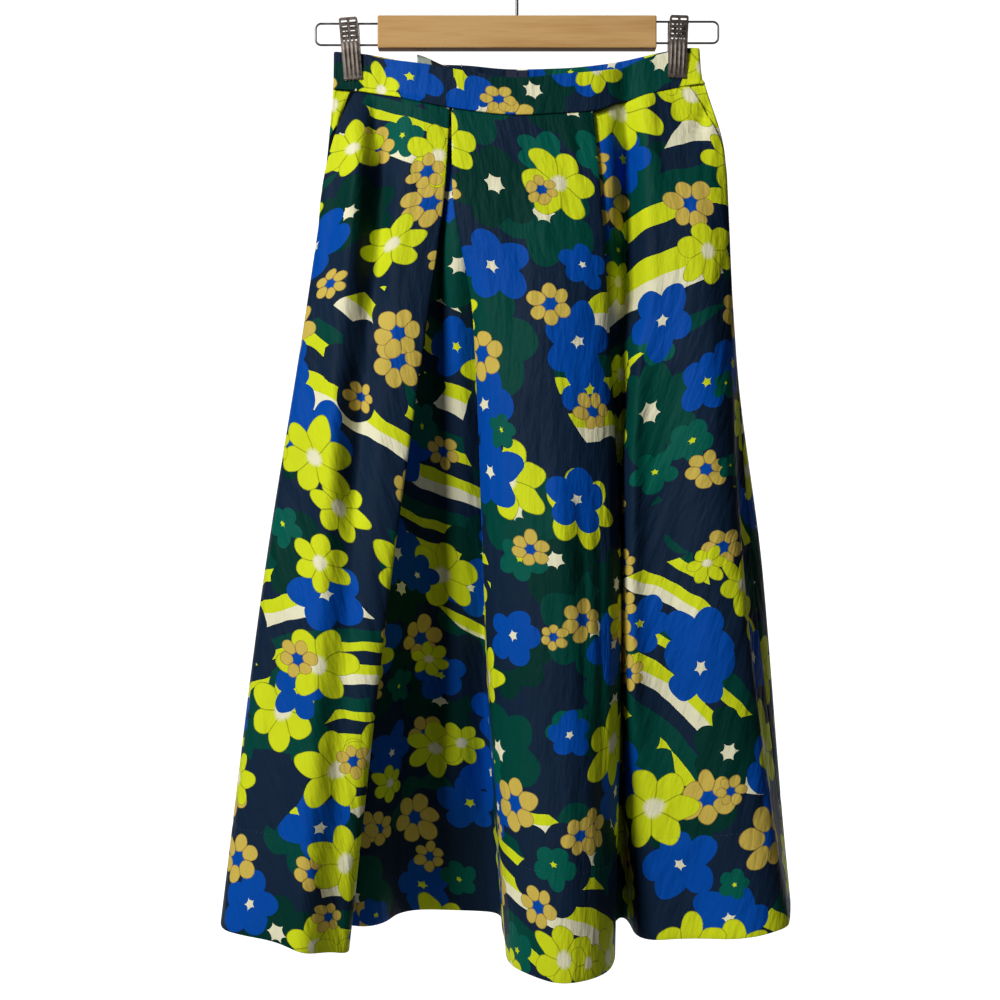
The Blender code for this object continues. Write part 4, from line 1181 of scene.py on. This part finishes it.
CLIP_WIDTH, CLIP_WALL, CLIP_BORE = mm((17.0, 0.9, 2.1))
EAR_SIZE = mm((0.9, 9.0, 6.2))
EAR_OUT, EAR_RISE, FRONT_EAR_X, BACK_EAR_X = mm((2.2, 0.2, 7.9, 6.5))
CORNER_ROUND, PLATE_ROUND, CUT_DEPTH, SLOT_TALL, SLOT_ROUND = mm((2.2, 0.12, 6.0, 1.9, 0.7))
LIP_RADIUS, LIP_BELOW, LIP_LINE, LIP_OUT = mm((0.75, 1.55, 1.5, 0.35))
# Where the slots of each plate's rows lie across, and how wide they are
FRONT_ROW = mm(((-3.9, 3.9), 5.6))
BACK_ROW = mm(((-5.0, 2.0), 4.6))
WIDE_ROW = mm(((-3.65, 3.65), 7.0))
FRONT_ROWS = tuple((height * MM, FRONT_ROW) for height in (19.2, 15.0, 11.0, 6.8))
BACK_ROWS = tuple((height * MM, BACK_ROW) for height in (20.2, 15.7, 11.1)) + ((6.5 * MM, WIDE_ROW),)
HOLE_XS = mm((-5.7, -1.9, 1.9, 5.7))
HOLE_HEIGHT, HOLE_RADIUS, RIB_HALF, RIB_OUT = mm((2.4, 0.95, 1.35, 0.6))
RIB_SPAN = mm((-31.0, 0.6))
FLANGE_DEPTHS = mm(((22.6, 3.4), (16.0, 4.4), (0.0, 4.2), (-20.0, 2.6), (-29.0, 1.4)))
FLANGE_STEP, FLANGE_FOOT, SLIVER = mm((7.0, 0.6, 0.02))
TOOTH_SHARE = 0.9
TOOTH, TOOTH_LONG, TOOTH_DEEPER, TOOTH_IN, JAW_ROUND = mm((1.7, 0.5, 0.44, 0.25, 0.65))
SPRING_WIRE, SPRING_RADIUS, SPRING_PITCH, SPRING_LEG, SPRING_LEG_OUT = mm((0.45, 2.6, 1.3, 14.0, 7.2))
SPRING_TURNS = 4.5
# How near a corner has to be to count as at a place, in metres
NEAR, ROW_NEAR, CUT_NEAR = 1e-5, 6e-6, 2e-6
SIDEWAYS = (0.0, math.radians(90.0), 0.0)
THROUGH = (math.radians(90.0), 0.0, 0.0)

# The middle line of a clip's plate, seen from its side: away from the cloth and above the lower wire
PLATE_PROFILE = mm((
    (9.9, 22.6), (9.2, 16.0), (7.4, 7.0), (6.6, 0.0), (5.8, -8.0), (4.4, -20.0), (3.0, -29.0), (3.0, -32.5)))


def keep_only(piece):
    """Select one piece and make it active."""
    bpy.ops.object.select_all(action="DESELECT")
    bpy.context.view_layer.objects.active = piece
    piece.select_set(True)


def settle(piece):
    """Put a piece's place, turn and size into its mesh."""
    keep_only(piece)
    bpy.ops.object.transform_apply(location=True, rotation=True, scale=True)


def block(centre, size):
    """A box at its place."""
    bpy.ops.mesh.primitive_cube_add(size=1.0, location=centre, scale=size)
    settle(bpy.context.object)
    return bpy.context.object


def rod(centre, turn, radius, length, sides=24):
    """A cylinder at its place, standing along Z before its turn."""
    bpy.ops.mesh.primitive_cylinder_add(
        radius=radius, depth=length, vertices=sides, location=centre, rotation=turn)
    settle(bpy.context.object)
    return bpy.context.object


def slice_piece(piece, axis, places):
    """Cut new edges round a piece at these places along an axis."""
    keep_only(piece)
    bpy.ops.object.mode_set(mode="EDIT")
    for place in places:
        point, normal = [0.0, 0.0, 0.0], [0.0, 0.0, 0.0]
        point[axis], normal[axis] = place, 1.0
        bpy.ops.mesh.select_all(action="SELECT")
        bpy.ops.mesh.bisect(plane_co=point, plane_no=normal)
    bpy.ops.object.mode_set(mode="OBJECT")


def push(piece, wanted, move):
    """Move the corners whose places pass a test."""
    keep_only(piece)
    bpy.ops.object.mode_set(mode="EDIT")
    bpy.ops.mesh.select_mode(type="VERT")
    bpy.ops.mesh.select_all(action="DESELECT")
    mesh = bmesh.from_edit_mesh(piece.data)
    for vert in mesh.verts:
        vert.select = wanted(vert.co)
    mesh.select_flush_mode()
    bmesh.update_edit_mesh(piece.data)
    bpy.ops.transform.translate(value=move)
    bpy.ops.object.mode_set(mode="OBJECT")


def finish_with(piece, kind, **settings):
    """Add a modifier and apply it."""
    modifier = piece.modifiers.new("finish", kind)
    for key, value in settings.items():
        setattr(modifier, key, value)
    keep_only(piece)
    bpy.ops.object.modifier_apply(modifier=modifier.name)


def cut_with(piece, cutter, operation="DIFFERENCE"):
    """Cut a piece with another, or join them, and remove the other."""
    finish_with(piece, "BOOLEAN", object=cutter, operation=operation)
    bpy.data.objects.remove(cutter)


def smooth_faces(piece, material, sharp_from):
    """Shade a piece smooth, but for edges sharper than this many degrees, and give it its material."""
    piece.data.shade_smooth()
    piece.data.set_sharp_from_angle(angle=math.radians(sharp_from))
    piece.data.materials.append(material)
    return piece


def wire(name, points, radius, material, end_size=1.0):
    """A round wire through these points, as a closed mesh."""
    curve = bpy.data.curves.new(name, "CURVE")
    curve.dimensions = "3D"
    curve.bevel_depth = radius
    curve.bevel_resolution = 4
    curve.use_fill_caps = True
    line = curve.splines.new("POLY")
    line.points.add(len(points) - 1)
    for point, place in zip(line.points, points):
        point.co = (*place, 1.0)
    line.points[0].radius = line.points[-1].radius = end_size
    keep_only(new_object(name, curve))
    bpy.ops.object.convert(target="MESH")
    piece = bpy.context.object
    finish_with(piece, "WELD", merge_threshold=NEAR)
    return smooth_faces(piece, material, 50.0)


def make_hook(steel):
    """The wire hook: foot in the bar, stem, neck and three quarters of a ring."""
    centre_z = -HOOK_RADIUS
    bend = HOOK_RADIUS + HOOK_WIRE
    points = [(0.0, 0.0, WOOD_TOP - HOOK_SEAT + SEAM_GAP)]
    for rise in HOOK_STEM:
        points.append((0.0, 0.0, WOOD_TOP + rise))
    points.append((HOOK_NECK[0], 0.0, centre_z - bend - HOOK_NECK[1]))
    for angle in np.linspace(*HOOK_TURN, 64):
        points.append((bend * math.cos(angle), 0.0, centre_z + bend * math.sin(angle)))
    piece = wire("hook_wire", points, HOOK_WIRE, steel, end_size=0.75)
    stand_for(piece, "hanger_hook")


def make_loop(place, steel):
    """The wire loop on one side, with both its ends in the bar."""
    seat = WOOD_HALF - LOOP_SEAT + SEAM_GAP
    points = [(place.sign * seat, 0.0, place.upper_wire)]
    for height, first in ((place.upper_wire - LOOP_CORNER, 90.0), (place.lower_wire + LOOP_CORNER, 0.0)):
        for turn in np.linspace(0.0, 90.0, 14):
            angle = math.radians(first - turn)
            x = LOOP_END - LOOP_CORNER + LOOP_CORNER * math.cos(angle)
            points.append((place.sign * x, 0.0, height + LOOP_CORNER * math.sin(angle)))
    points.append((place.sign * seat, 0.0, place.lower_wire))
    piece = wire("loop_wire_" + place.side, points, LOOP_WIRE, steel)
    stand_for(piece, "wire_loop_" + place.side)


def plate_out(height):
    """How far from the cloth a plate's middle line lies at this height."""
    outs, heights = zip(*PLATE_PROFILE)
    return float(np.interp(height, heights[::-1], outs[::-1]))


def make_flange(sign):
    """The side of a plate that is bent back, deepest at its middle."""
    heights, depths = zip(*FLANGE_DEPTHS)
    top, bottom = heights[0] - CORNER_ROUND, heights[-1]
    cuts = (*heights[1:-1], FLANGE_STEP)
    x = sign * (CLIP_WIDTH - CLIP_WALL) / 2.0
    flange = block((x, 0.0, (top + bottom) / 2.0), (CLIP_WALL - SLIVER, FLANGE_FOOT, top - bottom))
    slice_piece(flange, 2, cuts)
    for height in (top, *cuts, bottom):
        depth = float(np.interp(height, heights[::-1], depths[::-1]))
        push(flange, lambda co: abs(co.z - height) < CUT_NEAR and co.y > 0.0, (0.0, depth, 0.0))
    return flange


def press_ribs(plate):
    """Raise a rib down the plate below each hole."""
    low, high = RIB_SPAN[0] + NEAR, RIB_SPAN[1] - NEAR
    slice_piece(plate, 0, [x + side for x in HOLE_XS for side in (-RIB_HALF, 0.0, RIB_HALF)])
    for x in HOLE_XS:
        push(plate, lambda co: abs(co.x - x) < NEAR and co.y < 0.0 and low < co.z < high,
             (0.0, -RIB_OUT, 0.0))


def round_corner(plate, sign, top):
    """Round one of the plate's upper corners."""
    out, over = -plate_out(top), CORNER_ROUND + SLIVER
    square = block((sign * (CLIP_WIDTH - CORNER_ROUND) / 2.0, out, top - CORNER_ROUND / 2.0),
                   (over, CUT_DEPTH, over))
    cut_with(square, rod((sign * (CLIP_WIDTH / 2.0 - CORNER_ROUND), out, top - CORNER_ROUND),
                         THROUGH, CORNER_ROUND, CUT_DEPTH + 2.0 * MM, 32))
    cut_with(plate, square)


def make_plate(name, rows, ear_x, steel):
    """A pressed clip plate for the front: rounded top, lipped slots, holes, ribs, toothed jaw, ears."""
    top, bottom = PLATE_PROFILE[0][1], PLATE_PROFILE[-1][1]
    plate = block((0.0, 0.0, (top + bottom) / 2.0), (CLIP_WIDTH, CLIP_WALL, top - bottom))
    plate.name = name
    slice_piece(plate, 2, [height for _, height in PLATE_PROFILE[1:-1]] + list(RIB_SPAN))
    press_ribs(plate)
    for sign in (-1, 1):
        cut_with(plate, make_flange(sign), "UNION")
    for height in sorted({round(vert.co.z, 5) for vert in plate.data.vertices}):
        push(plate, lambda co: abs(co.z - height) < ROW_NEAR, (0.0, -plate_out(height), 0.0))
    jaw_out = -plate_out(bottom)
    for x in np.arange(-CLIP_WIDTH / 2.0 + TOOTH / 2.0, CLIP_WIDTH / 2.0, TOOTH)[::2]:
        cut_with(plate, block((x + TOOTH / 2.0, TOOTH_IN + jaw_out, bottom),
                              (TOOTH * TOOTH_SHARE, CLIP_WALL + TOOTH_DEEPER, 2.0 * TOOTH_LONG)), "UNION")
    cut_with(plate, rod((0.0, jaw_out - LIP_OUT, bottom + JAW_ROUND),
                        SIDEWAYS, JAW_ROUND, CLIP_WIDTH - 2.0 * SLIVER, 16), "UNION")
    for height, (slot_xs, slot_wide) in rows:
        lip_out = -plate_out(height - LIP_LINE) - LIP_OUT
        for x in slot_xs:
            slot = block((x, -plate_out(height), height), (slot_wide, CUT_DEPTH, SLOT_TALL))
            finish_with(slot, "BEVEL", width=SLOT_ROUND, segments=3)
            cut_with(plate, slot)
            lip = rod((x, lip_out, height - LIP_BELOW), SIDEWAYS, LIP_RADIUS, slot_wide, 12)
            cut_with(plate, lip, "UNION")
    for x in HOLE_XS:
        cut_with(plate, rod((x, -plate_out(HOLE_HEIGHT), HOLE_HEIGHT), THROUGH, HOLE_RADIUS, CUT_DEPTH, 16))
    for sign in (-1, 1):
        cut_with(plate, block((sign * ear_x, -EAR_OUT, EAR_RISE), EAR_SIZE), "UNION")
    cut_with(plate, rod((0.0, 0.0, 0.0), SIDEWAYS, CLIP_BORE, 2.0 * CLIP_WIDTH))
    for sign in (-1, 1):
        round_corner(plate, sign, top)
    finish_with(plate, "BEVEL", width=PLATE_ROUND, segments=1, limit_method="ANGLE",
                angle_limit=math.radians(50.0))
    return smooth_faces(plate, steel, 35.0)


def make_spring(name, steel):
    """A coil round the lower wire, with a leg up to each plate."""
    length = SPRING_TURNS * SPRING_PITCH
    points = [(-length / 2.0 - SPRING_WIRE, -SPRING_LEG_OUT, SPRING_LEG)]
    for share in np.linspace(0.0, 1.0, 108):
        angle = math.pi + FULL_TURN * SPRING_TURNS * share
        points.append((
            length * (share - 0.5), SPRING_RADIUS * math.cos(angle), SPRING_RADIUS * math.sin(angle)))
    points.append((length / 2.0 + SPRING_WIRE, SPRING_LEG_OUT, SPRING_LEG))
    return wire(name, points, SPRING_WIRE, steel)


def make_clips(plate_steel, wire_steel):
    """Both clips, each hung a little askew on its loop."""
    front = make_plate("clip_plate_front", FRONT_ROWS, FRONT_EAR_X, plate_steel)
    back = make_plate("clip_plate_back", BACK_ROWS, BACK_EAR_X, plate_steel)
    back.scale = (1.0, -1.0, 1.0)
    settle(back)
    bpy.ops.object.mode_set(mode="EDIT")
    bpy.ops.mesh.select_all(action="SELECT")
    bpy.ops.mesh.normals_make_consistent(inside=False)
    bpy.ops.object.mode_set(mode="OBJECT")
    patterns = {"front": front, "back": back, "spring": make_spring("clip_coil", wire_steel)}
    for place in SIDES:
        for part, pattern in patterns.items():
            node = "clip_" + place.side + "_" + part
            piece = new_object("steel_" + node, pattern.data.copy())
            piece.location = (place.clip_x, 0.0, place.lower_wire)
            piece.rotation_euler = (0.0, math.radians(place.clip_tilt_deg), 0.0)
            settle(piece)
            stand_for(piece, node)
    for pattern in patterns.values():
        bpy.data.objects.remove(pattern)


# ---- sewing

# How far down each cloth the zip's coil runs, and how many places its line is read at
COIL_RUNS = {"band": (0.08, 0.9, 8), "skirt": (0.012, 0.21, 30)}
COIL_INWARD, COIL_STEP = mm((2.25, 0.95))
COIL_TOOTH = mm((0.6, 2.6, 0.9))
STITCH_SIZE = (STITCH_LONG, STITCH_THICK, STITCH_THICK)
FORWARD = (0.0, -1.0, 0.0)


def sewn_line(name, line, normals, spacing, material, size=STITCH_SIZE):
    """Small stitches of one length, width and thickness that lie along a line on the cloth."""
    long, wide, thick = size
    arc = arc_of(line)
    made = bmesh.new()

    def read(values, at):
        """These values at a distance along the line."""
        return Vector([np.interp(at, arc, values[:, axis]) for axis in range(3)])

    for number in range(int(arc[-1] / spacing + 0.05)):
        middle = (number + 0.5) * spacing
        outward = read(normals, middle).normalized()
        along = (read(line, middle + long / 2.0) - read(line, middle - long / 2.0)).normalized()
        across = along.cross(outward)
        place = Matrix((along * long, across * wide, outward * thick)).transposed().to_4x4()
        place.translation = read(line, middle)
        bmesh.ops.create_icosphere(made, subdivisions=1, radius=0.62, matrix=place)
    mesh = bpy.data.meshes.new(name)
    made.to_mesh(mesh)
    made.free()
    mesh.shade_smooth()
    mesh.materials.append(material)
    piece = new_object(name, mesh)
    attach(piece, "root")
    return piece


def make_zip_coil(back, band, nylon):
    """The zip's coil, a row of small teeth down the middle of the tape's inner side."""
    rows = []
    for cloth, run in ((band, COIL_RUNS["band"]), (back, COIL_RUNS["skirt"])):
        t = np.linspace(*run)
        rows.append(cloth.place(np.full_like(t, cloth.reach), t))
    line = np.concatenate(rows)
    line[:, 1] -= COIL_INWARD
    sewn_line("zip_coil", line, np.array([FORWARD] * len(line)), COIL_STEP, nylon, COIL_TOOTH)


def make_label(band, satin, thread):
    """A blank ribbon folded double and sewn askew inside the back band, its left end standing highest."""
    s = np.linspace(0.0, band.reach, 600)
    band_x = band.at_depth(s, 0.1)[:, 0]
    at = np.interp(np.linspace(*LABEL_ACROSS, 20), band_x, s)
    top = band.place(at, np.full_like(at, 0.02))
    face_y = top[:, 1] - (BAND_WALL / 2.0 + SEAM_GAP)
    share = np.linspace(0.0, 1.0, len(at))
    rise = LABEL_RISE * np.clip(1.0 - share * 1.25, -0.2, 1.0) + 0.6 * MM * np.sin(6.0 * share)

    def row(out, down, up=0.0):
        """One line across the ribbon: how far out it lies, how far down and how far up from there."""
        return np.column_stack((top[:, 0], face_y - out, top[:, 2] + rise + up - down * (rise + LABEL_DOWN)))

    steps = np.linspace(0.0, 1.0, 9)
    rows = [row((2.1 - 0.5 * down) * MM, down) for down in steps[::-1]]
    rows.append(row(1.3 * MM, 0.0, 0.45 * MM))
    rows += [row((0.7 - 0.3 * down) * MM, down) for down in steps]
    places = np.stack(np.meshgrid(share, np.linspace(0.0, 1.0, len(rows))), axis=-1)
    piece = sheet_piece("ribbon_label", np.array(rows), places, "back", (satin,), wall=LABEL_WALL)
    stand_for(piece, "inside_label")
    tacked = []
    for number, (x, from_z, to_z) in enumerate(TACKS):
        at = np.interp([x, x], band_x, s)
        y = band.place(at, np.array([0.1, 0.1]))[:, 1] - BAND_WALL / 2.0 - 0.1 * MM
        ends = np.array([[x, y[0], from_z], [x, y[1], to_z]])
        tacked.append(sewn_line(
            "label_tack_%d" % number, ends, np.array([FORWARD] * 2), TACK_SIZE[0], thread, TACK_SIZE))
    keep_only(tacked[0])
    for piece in tacked[1:]:
        piece.select_set(True)
    bpy.ops.object.join()
    tacked[0].name = "label_stitches"


# ---- all together

def dress_kept_nodes(tape, wood, zip_metal):
    """Give the nodes that keep their own form their finishes."""
    finishes = {"zip_tape": tape, "hanger_bar": wood, "zip_slider": zip_metal, "zip_pull": zip_metal}
    for name, material in finishes.items():
        slots = bpy.data.objects[name].data.materials
        slots.clear()
        slots.append(material)


def main():
    make_camera()
    make_room()
    skirt = cut_pieces(SkirtPanel, FRONT_LINES, BACK_LEFT_LINES, BACK_RIGHT_LINES)
    bands = cut_pieces(BandPanel, BAND_FRONT_LINES, BAND_BACK_LEFT_LINES, BAND_BACK_RIGHT_LINES)
    materials = (cotton("printed_cotton", False), cotton("cotton_reverse", True))
    make_skirt(skirt, materials, sewing_thread("hem_thread", paint(84, 102, 140)))
    make_waistband(bands, materials)
    make_facings(skirt["front"], materials, pocket_lining())

    plate_steel = metal("clip_steel", paint(124, 114, 106), 0.42, 240.0)
    wire_steel = metal("wire_steel", paint(120, 118, 116), 0.28, 160.0)
    make_hook(wire_steel)
    for place in SIDES:
        make_loop(place, wire_steel)
    make_clips(plate_steel, wire_steel)
    make_zip_coil(skirt["back_left"], bands["back_left"], sewing_thread("coil_nylon", paint(44, 50, 84)))
    make_label(bands["back_left"], label_satin(), sewing_thread("white_thread", paint(236, 236, 230)))
    dress_kept_nodes(woven_tape(), pale_wood(), metal("zip_metal", paint(168, 166, 160), 0.25, 300.0))


main()
